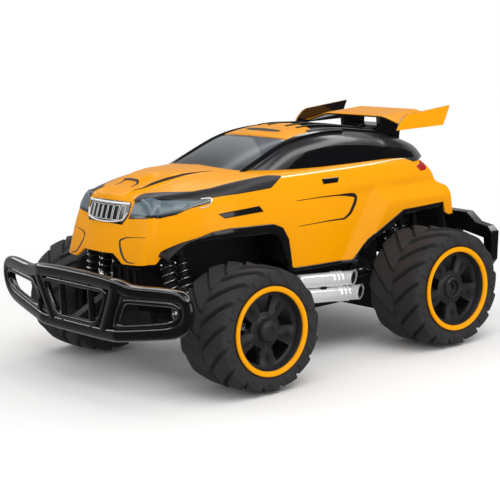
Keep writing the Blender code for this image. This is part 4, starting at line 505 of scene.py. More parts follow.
# %% Softened mouldings
BODY_OF_NODE = {n: body for body, nodes in frame["record"]["behaviour"]["bodies"].items() for n in nodes}
EDGE_WIDTHS = (
    (BLACK_GLOSS, {"rear_bumper": 0.9}),
    (NYLON, {"chassis_tub": 0.5, "rear_axle_housing": 0.6, "gear_cover": 0.5, "steering_servo": 0.6}),
    (NYLON, {"steering_link": 0.4, "battery_door": 0.4}),
    (BLACK_GLOSS, {"wing_mount": 0.9}),
    (NYLON, {"front_arm_left": 0.6, "steering_knuckle_left": 0.5}),
    (STEEL, {"stub_axle_left": 0.2}),
    (NYLON, {"front_arm_right": 0.6, "steering_knuckle_right": 0.5}),
    (STEEL, {"stub_axle_right": 0.2}),
    (WHITE_NYLON, {"servo_arm": 0.3, "power_switch": 0.3, "spur_gear": 0.0}),
    (BRASS, {"motor_pinion": 0.0}),
    (STEEL, {"rear_axle_shaft": 0.2, "drive_motor": 0.5}),
    (WRAP, {"battery_pack": 0.5}),
    (LACQUER, {"circuit_board": 0.0}),
)


def softened(node, finish, width):
    """A merged copy of a solid with rounded edges that stands for it."""
    mesh = frame["nodes"][node].data.copy()
    bm = bmesh.new()
    bm.from_mesh(mesh)
    bmesh.ops.remove_doubles(bm, verts=bm.verts, dist=MERGE)
    bmesh.ops.dissolve_limit(bm, angle_limit=math.radians(0.5), verts=bm.verts, edges=bm.edges)
    bm.to_mesh(mesh)
    bm.free()
    made = shown(node + "_moulding", mesh, finish, BODY_OF_NODE[node], [node])
    return bevelled(made, width) if width else made


for finish, widths in EDGE_WIDTHS:
    for node, width in widths.items():
        softened(node, finish, width)

# %% [markdown]
# ## Tyres
# A monster truck's tyre is a wide, soft, hollow ring with bar lugs that run from the middle to the shoulder
# in a chevron, the two halves half a step apart, and each bar ends above an oval knob on the side wall. The
# carcass is a turned profile; the lugs are a height on it, a function of angle and of distance across.

# %% Tyre surface
TYRE_HALF, TYRE_RADIUS, TYRE_COLUMNS = 30.7, 50.0, 768
WHEEL_X, WHEEL_Y, WHEEL_Z = 100.5, 110.8, 50.0
LUGS, LUG_SWEEP, LUG_SHARE, LUG_HEIGHT, FLANK_HEIGHT = 16, math.radians(30.0), 0.87, 3.2, 1.2
KNOB_RADIUS, KNOB_HEIGHT, KNOB_LONG, KNOB_WIDE = 41.2, 1.5, 3.4, 2.9
RIB_RADIUS, RIB_HEIGHT = 37.6, 0.35
CARCASS = [
    (24, 33.3), (26.4, 33.5), (28.4, 36.5), (29.1, 39.5), (29.1, 41.5), (28.5, 43.6), (26.5, 45.6),
    (20, 46.5), (8, 46.8), (0, 46.8),
]


def wheel_place(end, hand, sign):
    """A wheel's centre and the body that it turns with."""
    centre = np.array([WHEEL_X if end == "front" else -WHEEL_X, sign * WHEEL_Y, WHEEL_Z])
    return centre, f"front_wheel_{hand}" if end == "front" else "rear_axle"


def tyre_skin():
    """Height over the carcass: a bar where the angle, less its sweep, lies early in a lug's pitch."""
    half = evenly(rounded(CARCASS, 2), 46)
    across = np.concatenate([half, (half * (-1, 1))[-2::-1]])
    ahead = unit(np.gradient(across, axis=0))
    out = np.stack([-ahead[:, 1], ahead[:, 0]], -1)
    out *= np.sign((out * (across - (0.0, 38.0))).sum(1, keepdims=True))
    angle = np.linspace(0.0, math.tau, TYRE_COLUMNS, endpoint=False)
    offset, radius = across[:, :1], across[:, 1:]
    lean = LUG_SWEEP * np.abs(offset) / TYRE_HALF
    pitch = math.tau / LUGS
    phase = ((angle[None] - lean) / pitch + np.where(offset > 0, 0.5, 0.0)) % 1.0
    bar = step(np.minimum(phase, LUG_SHARE - phase) * pitch * radius, -0.1, 0.5)
    shingle = 1.0 - 0.5 * np.clip(phase / LUG_SHARE, 0.0, 1.0)
    tread = LUG_HEIGHT * step(radius, 43.0, 45.2) * step(np.abs(offset), 0.8, 2.2)
    flank = FLANK_HEIGHT * step(radius, 42.6, 44.0)
    run = (phase - LUG_SHARE / 2) * pitch * radius
    knob = step(1.0 - np.hypot(run / KNOB_LONG, (radius - KNOB_RADIUS) / KNOB_WIDE), 0.0, 0.2)
    height = np.maximum(bar * np.maximum(tread * shingle, flank), KNOB_HEIGHT * knob)
    height = height + RIB_HEIGHT * step(1.1 - np.abs(radius - RIB_RADIUS), 0.0, 0.5)
    spot = across[:, None] + out[:, None] * height[..., None]
    spot = np.clip(spot, (-TYRE_HALF, 0.0), (TYRE_HALF, TYRE_RADIUS))
    return np.stack([spot[..., 1] * np.cos(angle), spot[..., 0], spot[..., 1] * np.sin(angle)], -1)


tyre = tyre_skin()
for end, hand, sign in CORNERS:
    centre, body = wheel_place(end, hand, sign)
    skin = sheet_of(centre + tyre * (1.0, sign, 1.0), wrap_rows=True, wrap_columns=True)
    piece(f"tyre_rubber_{end}_{hand}", skin, RUBBER, [f"tyre_{end}_{hand}"], body, sharp=45.0)

# %% [markdown]
# ## Wheels
# The rim is one black moulding: a barrel, a dished disc with five tapered windows, and a hub. The windows'
# edges are radial, so a polar grid can leave those cells out, and a Solidify modifier gives the spokes their
# thickness. The rounded outer lip is moulded in the body's orange.

# %% Wheel surfaces
SPOKES, DISC_COLUMNS, DISC_WALL = 5, 180, 4.2
DISC_RADII = np.array([9.0, 10.5, 12.5, 14.5, 17.5, 20.5, 24.0, 27.4, 28.6, 30.2])
WINDOW_ROWS, WINDOW_HALF = (3, 6), 8.0
MARK_RADIUS, MARK_OFFSET, MARK_HEIGHT = 21.0, 21.9, 0.7
BARREL = [
    (30.4, -29.6), (33, -29.6), (34.6, -29.4), (34.9, -28.6), (34.2, -28.1), (33, -28), (33, 27.6),
    (31.6, 28.4), (30.6, 26.5), (29.8, 22.5), (30.4, 15), (30.4, -29.6),
]
HUBS = {
    "front": [
        (3.5, 6), (8.6, 6), (9.2, 7), (9.2, 22), (9, 25), (8.2, 26.6), (6.6, 27.3), (3.6, 27.5),
        (3.3, 26.6), (0, 26.5),
    ],
    "rear": [
        (3.4, 6), (8.6, 6), (9.2, 7), (9.2, 22), (8.8, 24), (8, 24.7), (6.8, 24.4), (6.4, 23.4), (6.4, 21.6),
        (3.4, 21.6), (3.4, 6),
    ],
}
OUTER_LIP = [
    (33.1, 28), (35.3, 28.1), (35.5, 29.4), (34.9, 30.4), (33.4, 30.5), (31.9, 30), (31, 28.8), (31.4, 27.6),
    (33.1, 28),
]


def spoke_disc(centre, sign):
    """Polar grid; its offset dishes with radius and crowns along each spoke; window cells are left out."""
    angle = np.linspace(0.0, math.tau, DISC_COLUMNS, endpoint=False)
    radius = DISC_RADII[:, None]
    turn_in = (angle / (math.tau / SPOKES) + 0.5) % 1.0 - 0.5
    crown = 1.3 * step(np.abs(turn_in), 0.26, 0.5) * step(radius, 11, 15) * step(29.0 - radius, 0, 4)
    dish = 20.6 + 1.6 * step(radius, 24, 30) + 1.8 * step(13.5 - radius, 0, 3)
    angle = angle + math.pi / 2
    points = np.stack([radius * np.cos(angle), sign * (dish + crown), radius * np.sin(angle)], -1)
    vertices, faces = sheet_of(centre + points, wrap_columns=True)
    row, column = np.divmod(np.arange(len(faces)), DISC_COLUMNS)
    first, last = WINDOW_ROWS
    period = DISC_COLUMNS / SPOKES
    beside = np.abs((column + 0.5 + period / 2) % period - period / 2)
    window = (row >= first) & (row <= last) & (beside < WINDOW_HALF + (row - first) / (last - first))
    return vertices, faces[~window]


def spoke_mark(centre, sign, k):
    """A low oval dome on a spoke: its rings shrink by a quarter circle as they rise."""
    angle = math.pi / 2 + math.tau * (k + 0.5) / SPOKES
    radial = np.array([math.cos(angle), 0.0, math.sin(angle)])
    ring = oval(7.0, 3.6, 20)
    ring = ring[:, :1] * radial + ring[:, 1:] * np.cross(radial, (0.0, 1.0, 0.0))
    rise = np.linspace(0.0, 1.0, 5)[:, None, None]
    spot = centre + radial * MARK_RADIUS + (0.0, sign * MARK_OFFSET, 0.0)
    points = spot + np.sqrt(1 - rise**2) * ring + rise * (0.0, sign * MARK_HEIGHT, 0.0)
    return sheet_of(points, wrap_columns=True)


for end, hand, sign in CORNERS:
    centre, body = wheel_place(end, hand, sign)
    out = (0.0, sign, 0.0)
    spokes = spoke_disc(centre, sign)
    disc = piece(f"wheel_disc_{end}_{hand}", spokes, SATIN, body=body, closed=False, facing=out)
    bevelled(walled(disc, DISC_WALL), 0.5)
    parts = together(turned(BARREL, centre, out, 96), turned(HUBS[end], centre, out, 48))
    piece(f"wheel_barrel_{end}_{hand}", parts, SATIN, [f"rim_{end}_{hand}"], body)
    piece(f"wheel_lip_{end}_{hand}", turned(rounded(OUTER_LIP, 2), centre, out, 128), ORANGE, body=body)
    marks = together(*[spoke_mark(centre, sign, k) for k in range(SPOKES)])
    piece(f"spoke_marks_{end}_{hand}", marks, NYLON, body=body, closed=False)

# %% [markdown]
# ## Coil-over shocks
# Each corner hangs on two oil dampers with a coil spring over them. The damper's body turns on the upper pin,
# its rod on the lower one, and the spring between the two seats rides on the damper's body.

# %% Shock surfaces
SHOCK_LEAN, SHOCK_DROP, SHOCK_STEP = 11.0, 52.0, 6.8
SHOCK_LENGTH = math.hypot(SHOCK_LEAN, SHOCK_DROP)
TOP_SEAT, LOW_SEAT = 11.0, SHOCK_LENGTH - 11.0
SHOCK_TOPS = {"front": (127.0, 50.0, 110.0), "rear": (-120.0, 42.0, 104.0)}
COIL_TURNS, COIL_RADIUS, COIL_WIRE = 6, 5.4, 1.4
DAMPER = [
    (0, 2.4), (3.4, 2.5), (4, 3.2), (4, 8.6), (6.1, 9), (6.4, 9.4), (6.4, 10.6), (6.1, 11), (4, 11.2),
    *[(4.0 + 0.22 * (k % 2), 12.0 + 0.8 * k) for k in range(12)],
    (4, 31), (3.4, 32), (1.9, 32), (1.9, 26), (0, 26),
]
ROD = [
    (0, 22), (1.5, 22), (1.5, LOW_SEAT - 0.4), (5.9, LOW_SEAT), (6.4, LOW_SEAT + 0.4), (6.4, LOW_SEAT + 1.6),
    (6, LOW_SEAT + 2), (2.8, LOW_SEAT + 2.6), (2.6, 50.6), (0, 50.6),
]
EYE = [(0, -2), (3.7, -2), (4, -1.7), (4, 1.7), (3.7, 2), (0, 2)]
SCREW = [(0, 2), (2.4, 2), (2.4, 3), (1.9, 3.4), (0, 3.4)]
PIN = [(0, -7), (2, -7), (2, 7), (0, 7)]


def shock(end, hand, sign):
    """Two dampers side by side, each with a coil: a helix whose first and last turns lie closer."""
    x, y, z = SHOCK_TOPS[end]
    top = np.array([x, sign * y, z])
    down = np.array([0.0, sign * SHOCK_LEAN, -SHOCK_DROP]) / SHOCK_LENGTH
    t = np.linspace(0.0, 1.0, COIL_TURNS * 18 + 1)
    angle = t[:, None] * COIL_TURNS * math.tau
    radial = np.cos(angle) * X_AXIS + np.sin(angle) * np.cross(down, X_AXIS)
    share = np.interp(t, [0, 0.12, 0.88, 1], [0, 0.05, 0.95, 1.0])
    depth = TOP_SEAT + 0.8 + (LOW_SEAT - TOP_SEAT - 1.6) * share
    bodies, rods = f"shock_bodies_{end}_{hand}", f"shock_rods_{end}_{hand}"
    shapes = {bodies: [], rods: []}
    for place, away in (("rear", (-1.0, 0.0, 0.0)), ("front", X_AXIS)):
        upper = top + np.multiply(away, SHOCK_STEP)
        for node, line, spot in ((bodies, DAMPER, upper), (rods, ROD, upper + down * SHOCK_LENGTH)):
            shapes[node] += [turned(line, upper, down, 28), turned(EYE, spot, X_AXIS, 24)]
            shapes[node].append(turned(SCREW, spot, away, 18))
        path = upper + down * depth[:, None] + radial * COIL_RADIUS
        helix = carried(path, oval(COIL_WIRE, COIL_WIRE, 10), radial)
        spring = f"{end}_{hand}_{place}"
        coil = piece(f"coil_{spring}", helix, STEEL, [f"spring_{spring}"], bodies, sharp=60.0)
        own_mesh(coil)
    upper_pin, lower_pin = (turned(PIN, top + down * along, X_AXIS, 20) for along in (0.0, SHOCK_LENGTH))
    piece(f"dampers_{end}_{hand}", together(*shapes[bodies], upper_pin), NYLON, [bodies], bodies)
    piece(f"piston_rods_{end}_{hand}", together(*shapes[rods], lower_pin), STEEL, [rods], rods)


for corner in CORNERS:
    shock(*corner)

# %% [markdown]
# ## Body
# The painted shell is one thin moulding. Each cross-section is a line of seven points from the middle of the
# hood to the lower edge; the points flow smoothly from nose to tail, the corners are cut round, and the lower
# edge follows the wheel arches. The nose and tail are closed by drawing the end sections in towards the
# middle.

# %% Body surface
STATIONS = np.array([166.0, 163.0, 152.0, 136.0, 108.0, 46.0, 0.0, -60.0, -112.0, -163.0])
SECTIONS = np.array([
    [(0, 152.3), (12, 152.0), (19, 151.0), (23, 148.5), (25.5, 140), (27, 125), (26, 98)],
    [(0, 153.3), (20, 152.8), (31, 151.6), (37.5, 149.5), (41.5, 140), (43.5, 125), (42.5, 98)],
    [(0, 155.6), (27, 154.8), (41, 153.2), (49.5, 150.5), (54.5, 140), (57, 124), (56, 98)],
    [(0, 160.0), (30, 159.0), (49, 154.8), (59.5, 151.5), (65, 141), (67.5, 124), (66.5, 98)],
    [(0, 164.0), (31, 163.0), (56, 157.0), (67.5, 153.5), (73.5, 143), (76.5, 124), (75, 97)],
    [(0, 165.0), (40, 163.5), (61, 160.5), (70, 157.5), (75, 145), (77.5, 122), (75, 77)],
    [(0, 163.0), (40, 161.5), (60, 159.0), (69.5, 157), (74, 145), (76.5, 121), (75, 77)],
    [(0, 161.0), (40, 159.5), (60, 157.5), (69.5, 156), (74, 144), (77, 120), (75, 77)],
    [(0, 158.0), (40, 157.0), (58, 155.8), (69, 154), (74, 143), (77.5, 120), (76, 96)],
    [(0, 154.0), (38, 153.2), (53, 152.2), (63, 150), (71, 141), (73.5, 122), (71, 98)],
])
EDGE = np.array([
    (180, 101), (148.5, 101), (143.5, 107.5), (119.5, 118), (104.5, 122), (88.5, 123), (44, 120),
    (33.5, 115.5), (27.5, 105), (24.8, 80), (-41.5, 77), (-57.5, 93), (-97.5, 113), (-145.5, 112.5),
    (-150.5, 103), (-156.5, 100), (-193, 100),
])
HOOD_EDGE = np.array([(50, 36), (70, 33.5), (89, 31), (104, 28.5), (128, 26), (140, 23), (158, 21)])
LIP, NOSE_LEAN, TAIL_LEAN = 98.0, 0.36, -0.5
NOTCH_LOW, NOTCH_RISE, NOTCH_HALF, NOTCH_SLOPE = 101.0, 7.5, 33.0, 12.0
SCOOP_HALF, SCOOP_FRONT, FLARE_FRONT, FLARE_ACROSS = 12.0, 128.5, (-40.7, 92.1), (0.823, 0.569)
HOOD_RISE, SCOOP_RISE, FLARE, HOLLOW = 3.0, 2.4, 6.2, 2.4
NOSE_BULGE, TAIL_BULGE = 3.0, -2.0
BODY_COLUMNS = ((166, 150, 48), (149, 46, 80), (45, 20, 44), (19, -38, 34), (-39, -163, 110))
DRAWN_IN = np.linspace(0.0, 0.96, 25)


def edge_height(x):
    """Height of the painted side's lower edge, by straight lines between its corners."""
    return np.interp(-x, -EDGE[:, 0], EDGE[:, 1])


def flowing(x, nodes, values):
    """Cubic Hermite through values at nodes, its slopes taken from the neighbours."""
    order = np.argsort(nodes)
    nodes, values = nodes[order], values[order]
    slopes = np.gradient(values, nodes, axis=0)
    k = np.clip(np.searchsorted(nodes, x) - 1, 0, len(nodes) - 2)
    run = nodes[k + 1] - nodes[k]
    t = ((x - nodes[k]) / run).reshape(-1, *[1] * (values.ndim - 1))
    run = run.reshape(t.shape)
    return (
        (2 * t**3 - 3 * t**2 + 1) * values[k] + (t**3 - 2 * t**2 + t) * run * slopes[k]
        + (3 * t**2 - 2 * t**3) * values[k + 1] + (t**3 - t**2) * run * slopes[k + 1]
    )


def notch_height(y):
    """The nose's lower edge rises in a flat-topped notch, where the front shocks show."""
    return NOTCH_LOW + NOTCH_RISE * np.clip((NOTCH_HALF - np.abs(y)) / NOTCH_SLOPE, 0.0, 1.0)


def half_sections(x):
    """Rounded half-sections at each x as (columns, points, 3), from the top centre down to the lower edge.

    A section leans by a share of its height, so the edge's height is found by trying again six times."""
    control = flowing(x, STATIONS, SECTIONS)
    low = np.full(len(x), LIP)
    lean = np.interp(x, [-163, -112, 46, 108, 136], [TAIL_LEAN, 0.0, 0.0, 0.2, NOSE_LEAN])
    for _ in range(6):
        low = edge_height(x - lean * (low - LIP))
    low = np.where(x > 150.0, np.maximum(low, notch_height(control[:, 6, 0])), low)
    share = np.clip((control[:, 5, 1] - low) / (control[:, 5, 1] - control[:, 6, 1]), 0.02, 1.0)
    control[:, 6, 0] = control[:, 5, 0] + (control[:, 6, 0] - control[:, 5, 0]) * share
    control[:, 6, 1] = np.minimum(low, control[:, 5, 1] - 0.4)
    line = rounded(control, 3)
    place = x[:, None] - lean[:, None] * (line[..., 1] - LIP)
    return np.concatenate([place[..., None], line], -1)


def body_features(points):
    """Hood panel and scoop stand proud; the flare is the lesser of two slopes; a ledge crosses the tail."""
    x, y, z = np.moveaxis(points, -1, 0)
    inside = np.interp(x, *HOOD_EDGE.T) - np.abs(y)
    proud = HOOD_RISE * step(inside, -1.0, 2.5) * step(x, 58, 112) * step(158 - x, 0, 22) * step(z, 145, 153)
    scoop = step(SCOOP_HALF - np.abs(y), 0.0, 1.5) * step(SCOOP_FRONT - x, 0.0, 1.5) * step(x, 92, 122)
    scoop = SCOOP_RISE * scoop * (z > 150.0)
    behind = (FLARE_FRONT[0] - x) * FLARE_ACROSS[0] + (FLARE_FRONT[1] - z) * FLARE_ACROSS[1]
    below = np.interp(-x, [70, 99, 137], [134.9, 133.6, 131.0]) - z
    flare = FLARE * np.clip(np.minimum(behind / 17.0, below / 12.0), 0.0, 1.0)
    hollow = HOLLOW * step(10.0 - x, 0.0, 55.0) * step(140.0 - z, 0.0, 10.0)
    flare = (flare - hollow) * step(x, -174, -162)
    ledge = np.interp(z, [100, 112, 125, 131], [0.0, 4.0, 8.5, 0.0]) * step(-x, 122, 146)
    return np.stack([x - ledge, y + np.sign(y) * flare, z + proud + scoop], -1)


def drawn_in(ring, bulge):
    """An end section repeated towards the middle: y shrinks, x bulges by a parabola."""
    out = np.repeat(ring[None], len(DRAWN_IN), 0)
    out[..., 1] *= DRAWN_IN[:, None]
    out[..., 0] += bulge * (1.0 - DRAWN_IN**2)[:, None]
    return out


def body_grid():
    """All columns in one grid: nose face, side from nose to tail, tail face; each goes from edge to edge."""
    sides = half_sections(np.concatenate([np.linspace(*run) for run in BODY_COLUMNS]))
    nose = drawn_in(sides[0], NOSE_BULGE)
    base = sides[0, -1, 2]
    lift = notch_height(DRAWN_IN * sides[0, -1, 1]) - base
    share = (nose[:, :, 2] - base) / (sides[0, 0, 2] - base)
    lift = lift[:, None] * np.clip(1.0 - share * 3.0, 0.0, 1.0)
    nose[..., 2] += lift
    nose[..., 0] -= NOSE_LEAN * lift
    return with_mirror(body_features(np.concatenate([nose, sides, drawn_in(sides[-1], TAIL_BULGE)[::-1]])))


body_panels = piece("body_panels", sheet_of(body_grid()), ORANGE, ["body_shell"], sharp=28.0, facing=Z_AXIS)
print("body points:", len(body_panels.data.vertices))

# %% [markdown]
# ## Greenhouse
# Windows, pillars and rear roof are one glossy black moulding that drops onto the painted deck. It is lofted
# the same way, from the foot of the windscreen over the roof to the rear lip.

# %% Greenhouse surface
CABIN_X = np.array([64.0, 40.0, -2.0, -30.0, -92.0, -135.0, -146.0])
CABIN = np.array([
    [(0, 162.5), (24, 161.8), (39, 160.0), (46, 158), (52, 152)],
    [(0, 171.5), (26, 170.6), (43, 167.6), (53, 162), (60, 150)],
    [(0, 184.8), (28, 183.8), (46, 180.6), (55, 173), (65, 148)],
    [(0, 188.5), (28, 187.6), (47, 183.2), (57, 175), (67, 148)],
    [(0, 181.8), (28, 180.8), (47, 176.6), (57, 170), (67, 148)],
    [(0, 171.0), (28, 170.0), (46, 165.8), (55, 161), (63, 151)],
    [(0, 167.0), (26, 166.0), (42, 162.0), (49, 158), (55, 151.5)],
])
CABIN_COLUMNS = ((64, -2, 46), (-3.5, -135, 80), (-136, -146, 16))


def cabin_grid():
    """Rounded half-sections, the last one drawn in to the middle in four steps, and their mirror."""
    x = np.concatenate([np.linspace(*run) for run in CABIN_COLUMNS])
    line = rounded(flowing(x, CABIN_X, CABIN), 3)
    left = np.concatenate([np.broadcast_to(x[:, None, None], (*line.shape[:2], 1)), line], -1)
    drawn = left[-1:] * np.ones((4, 1, 1))
    drawn[..., 1] *= np.array([0.9, 0.6, 0.3, 0.0])[:, None]
    drawn[..., 0] -= np.array([0.3, 0.9, 1.1, 1.2])[:, None]
    return with_mirror(np.concatenate([left, drawn]))


# the greenhouse is glossy black; its grey tone is a painted reflection
greenhouse = piece("greenhouse", sheet_of(cabin_grid()), PAINTED_SHEEN_BLACK, ["cabin"], sharp=32.0, facing=Z_AXIS)

# %% [markdown]
# ## Laying a pad on a surface
# Lamps, windows, vents and panel lines follow the shell's own curve. Each is drawn as a line, or as a pair of
# lines, close to the shell. A Shrinkwrap modifier lays the points on it, and the pad between them rises a
# little, its border sunk below the skin so that no gap shows.

# %% Pads and ribbons
def laid_on(points, surface, lift=0.0):
    """The nearest places on a surface to an array of points, raised by lift along its normals."""
    mesh = bpy.data.meshes.new("probe")
    mesh.from_pydata((np.reshape(points, (-1, 3)) * MM).tolist(), [], [])
    probe = bpy.data.objects.new("probe", mesh)
    scene.collection.objects.link(probe)
    wrap = probe.modifiers.new("wrap", "SHRINKWRAP")
    wrap.target = surface
    wrap.wrap_mode = "ABOVE_SURFACE"
    wrap.offset = lift * MM
    seen = probe.evaluated_get(bpy.context.evaluated_depsgraph_get()).data
    found = np.empty(len(seen.vertices) * 3, np.float32)
    seen.vertices.foreach_get("co", found)
    bpy.data.objects.remove(probe)
    bpy.data.meshes.remove(mesh)
    return found.astype(float).reshape(np.shape(points)) / MM


def closer(count):
    """Shares from 0 to 1 that crowd at both ends: (1 - cos) / 2 of a half turn."""
    return (1.0 - np.cos(np.linspace(0.0, math.pi, count))) / 2.0


def between(upper, lower, rows, columns):
    """A grid from one line to another, its rows and columns closer together near the border."""
    t = closer(rows)[:, None, None]
    return evenly(upper, closer(columns)) * (1.0 - t) + evenly(lower, closer(columns)) * t


def border_distance(spots):
    """Least length, along a row or a column, from each point of a grid to the grid's border."""
    least = np.full(spots.shape[:2], np.inf)
    for axis in (0, 1):
        run = np.linalg.norm(np.diff(spots, axis=axis), axis=2).cumsum(axis)
        run = np.concatenate([np.zeros_like(run.take([0], axis)), run], axis)
        least = np.minimum(least, np.minimum(run, run.take([-1], axis) - run))
    return least


def pad(grid, surface, lift, edge=0.8, sink=0.4, wave=0.0):
    """A cushion on a surface: its height climbs from -sink at the border to lift, plus a wave."""
    spots = laid_on(grid, surface)
    out = laid_on(grid, surface, 1.0) - spots
    climb = step(border_distance(spots), 0.0, edge)
    skin = spots + out * ((lift + sink + wave) * climb - sink)[..., None]
    under = spots - out * (sink + 0.3 * climb)[..., None]
    return together(sheet_of(skin), sheet_of(under[:, ::-1]))


def ribbon(line, width, lift, count=60, smooth=2, surface=body_panels):
    """A strip along a line on a surface, half its width to either side; the width may change along it."""
    path = laid_on(evenly(rounded(line, smooth), count), surface)
    out = laid_on(path, surface, 1.0) - path
    side = unit(np.cross(out, np.gradient(path, axis=0)))
    wide = np.atleast_1d(width)
    half = side * np.interp(np.linspace(0, 1, count), np.linspace(0, 1, len(wide)), wide)[:, None] / 2.0
    return pad(between(path + half, path - half, 8, count), surface, lift, 0.15, 0.15)


def handed(make, *lines):
    """The same shape made from lines of the left side and from their mirror on the right."""
    sides = [[np.asarray(line, float) * (1.0, sign, 1.0) for line in lines] for _, sign in HANDS]
    return together(*[make(*side) for side in sides])


def pads(name, finish, top, low, cells, lift, replaces=(), surface=body_panels, **border):
    """A piece of two pads, left and right, each between two lines."""
    shape = handed(lambda a, b: pad(between(a, b, *cells), surface, lift, **border), top, low)
    return piece(name, shape, finish, replaces)


def ribbons(name, finish, line, *how, **where):
    """A piece of two ribbons, left and right."""
    return piece(name, handed(lambda half: ribbon(half, *how, **where), line), finish)


# %% [markdown]
# ## Nose, lamps and hood
# A black band wraps each headlamp and sweeps back to the windscreen pillar, and a dark housing shows as a
# line round the lens. The grille is a dark plate with a bright bar above, a lip below, and seven slots with
# plated rims. Two tapering grooves border the raised hood; they, the scoop's mouth and the lines on the nose
# are dark strips of painted groove shade.

# %% Nose, lamps and hood
BAND_TOP = [
    (147.9, 29.6, 149.5), (134.7, 30.9, 154.1), (122.6, 44.7, 154.1), (108.9, 58, 153.9), (94.4, 63, 155.2),
    (56, 66, 158.5), (40, 66, 158.9), (26.3, 68.4, 157.2),
]
BAND_LOW = [
    (146.1, 32.9, 148), (129, 53, 149), (110.8, 65.6, 147.6), (97.7, 70.5, 147.8), (74.9, 73.8, 148),
    (40.7, 73.5, 148.4), (26, 69.5, 156),
]
LENS_TOP = [(146.8, 31.9, 148.2), (129, 53, 149.2), (110.8, 65.6, 147.8), (100, 70.5, 147.4)]
LENS_LOW = [
    (152.7, 29.4, 137.2), (146.8, 46.1, 137.3), (138.7, 53.9, 137.5), (128.5, 60.7, 139.4),
    (117.6, 65, 143.3), (100, 70.8, 146.2),
]
BRACKET = [(107.6, 66.9, 148.3), (97.7, 70.5, 148.4), (103.4, 71.8, 142), (110.7, 69.4, 141.6)]
GROOVE = [
    (141, 22.5, 159), (137, 24, 160), (128, 26, 162), (116.6, 26.5, 163), (104, 28.5, 164), (89, 31, 165),
    (70, 33.5, 164),
]
SCOOP = [(136, -11.5, 161), (128.2, -10.8, 163), (128.2, 10.8, 163), (136, 11.5, 161)]
NOSE_LINE = [
    (150.1, 51, 121.5), (159.7, 24.9, 121.4), (162.4, 27.8, 112.5), (163.3, 36, 103.4), (160.2, 45.9, 102.3),
]
FLUTES = 0.02 * np.cos(np.linspace(0.0, 15 * math.tau, 120))[None]
GRILLE_TOP, GRILLE_LOW = [(-29, 148.2), (29, 148.2)], [(-29, 138), (-24, 130.2), (24, 130.2), (29, 138)]
GRILLE_BAR = [(-28, 146.6), (28, 146.6)]
GRILLE_LIP = [(-27.4, 140), (-23.2, 131.8), (23.2, 131.8), (27.4, 140)]
NOSE_TIP, NOSE_ROUND, NOSE_HALF = 169.0, 6.0, 41.0
GRILLE_SLOT, SLOT_PITCH = np.array([(-2.8, 133.6), (2.8, 133.6), (2.8, 144.8), (-2.8, 144.8)]), 7.2


def on_nose(outline, lift=0.0):
    """Points (y, z) of the nose: x from its lean and from the roundness of its plan, then laid on it."""
    y, z = np.asarray(outline, float).T
    x = NOSE_TIP - NOSE_LEAN * (z - LIP) - NOSE_ROUND * (np.abs(y) / NOSE_HALF) ** 2
    return laid_on(np.stack([x, y, z], -1), body_panels, lift)


wires = [
    carried(on_nose(evenly(GRILLE_BAR, 40), 0.8), oval(1.8, 2.0, 14)),
    carried(on_nose(evenly(rounded(GRILLE_LIP, 3), 60), 0.7), oval(1.6, 1.3, 12)),
]
for k in range(-3, 4):
    rim = rounded(evenly_round(GRILLE_SLOT + (SLOT_PITCH * k, 0.0), 24), 2, closed=True)
    wires.append(carried(on_nose(rim, 0.6), oval(0.6, 0.5, 8), closed=True))
backing = pad(between(on_nose(GRILLE_TOP), on_nose(GRILLE_LOW), 20, 60), body_panels, 0.5)
piece("grille_backing", backing, BLACK_GLOSS)
piece("grille_plating", together(*wires), CHROME, ["grille"], sharp=60.0)
pads("lamp_bands", SATIN, BAND_TOP, BAND_LOW, (18, 90), 0.35)
lenses = ["headlight_left", "headlight_right"]
pads("headlamps", LENS, LENS_TOP, LENS_LOW, (18, 120), 0.7, lenses, edge=1.2, wave=FLUTES)
housing_top, housing_low = np.add(LENS_TOP, (0, 0, 1.2)), np.subtract(LENS_LOW, (0, 0, 2.0))
pads("lamp_housings", BLACK_GLOSS, housing_top, housing_low, (18, 90), 0.35, edge=0.3)
ribbons("lamp_brackets", CHROME, BRACKET, 0.8, 0.6, 40, 1)
ribbons("hood_grooves", GROOVE_SHADE, GROOVE, [0.6, 2.8, 3.2, 2.2, 0.8], 0.15)
piece("hood_scoop", ribbon(SCOOP, [0.8, 2.6, 3.0, 3.0, 2.6, 0.8], 0.25, 80, 1), GROOVE_SHADE)
ribbons("nose_lines", GROOVE_SHADE, NOSE_LINE, [0.6, 0.6, 0.9, 2.0, 2.4, 1.6, 0.8], 0.12, 70, 1)

# %% [markdown]
# ## Sides and windows
# A dark vent sits in each front wing, a line of painted groove shade and a recessed handle mark the doors, and
# a pale strip of painted highlight, where the shoulder catches the light, runs under the side windows. The
# windows are tinted film, a little darker than the pillars round them, which are glossy black with a painted
# grey reflection, and a black rail runs up each side of the windscreen and along the roof.

# %% Sides and windows
VENT_TOP = [(98, 75.2, 135.9), (56, 76.1, 136.9)]
VENT_LOW = [(92.6, 76.9, 131.2), (51.6, 76.5, 131.1)]
HANDLE_TOP = [(-13.8, 72.1, 149.7), (-33.8, 72.3, 148.9)]
HANDLE_LOW = [(-14.6, 73.5, 144.4), (-30.8, 73.5, 144)]
DOOR = [
    (16.5, 75.4, 135.2), (-18.8, 75, 134.5), (-47, 75.5, 131.8), (-51.5, 75.8, 129), (-39.9, 76.2, 112.6),
    (-24.4, 76.1, 113.6), (15.7, 76.3, 114.1),
]
DOOR_WIDTHS = [0.7, 0.8, 1.0, 1.2, 3.6, 3.4, 1.4, 1.0, 0.8, 0.7]
HIGHLIGHT_LINE = [(26.9, 69.8, 155.8), (-11.1, 69.3, 155.1), (-57.8, 69.5, 154.1), (-129.3, 63.2, 151.1)]
WINDOW_TOP = [
    (19, 60.1, 155.9), (-8.8, 55.3, 171.1), (-22, 56.2, 172.6), (-48.8, 56, 173.6), (-102, 57.5, 166.2),
    (-129.1, 60.2, 158.3),
]
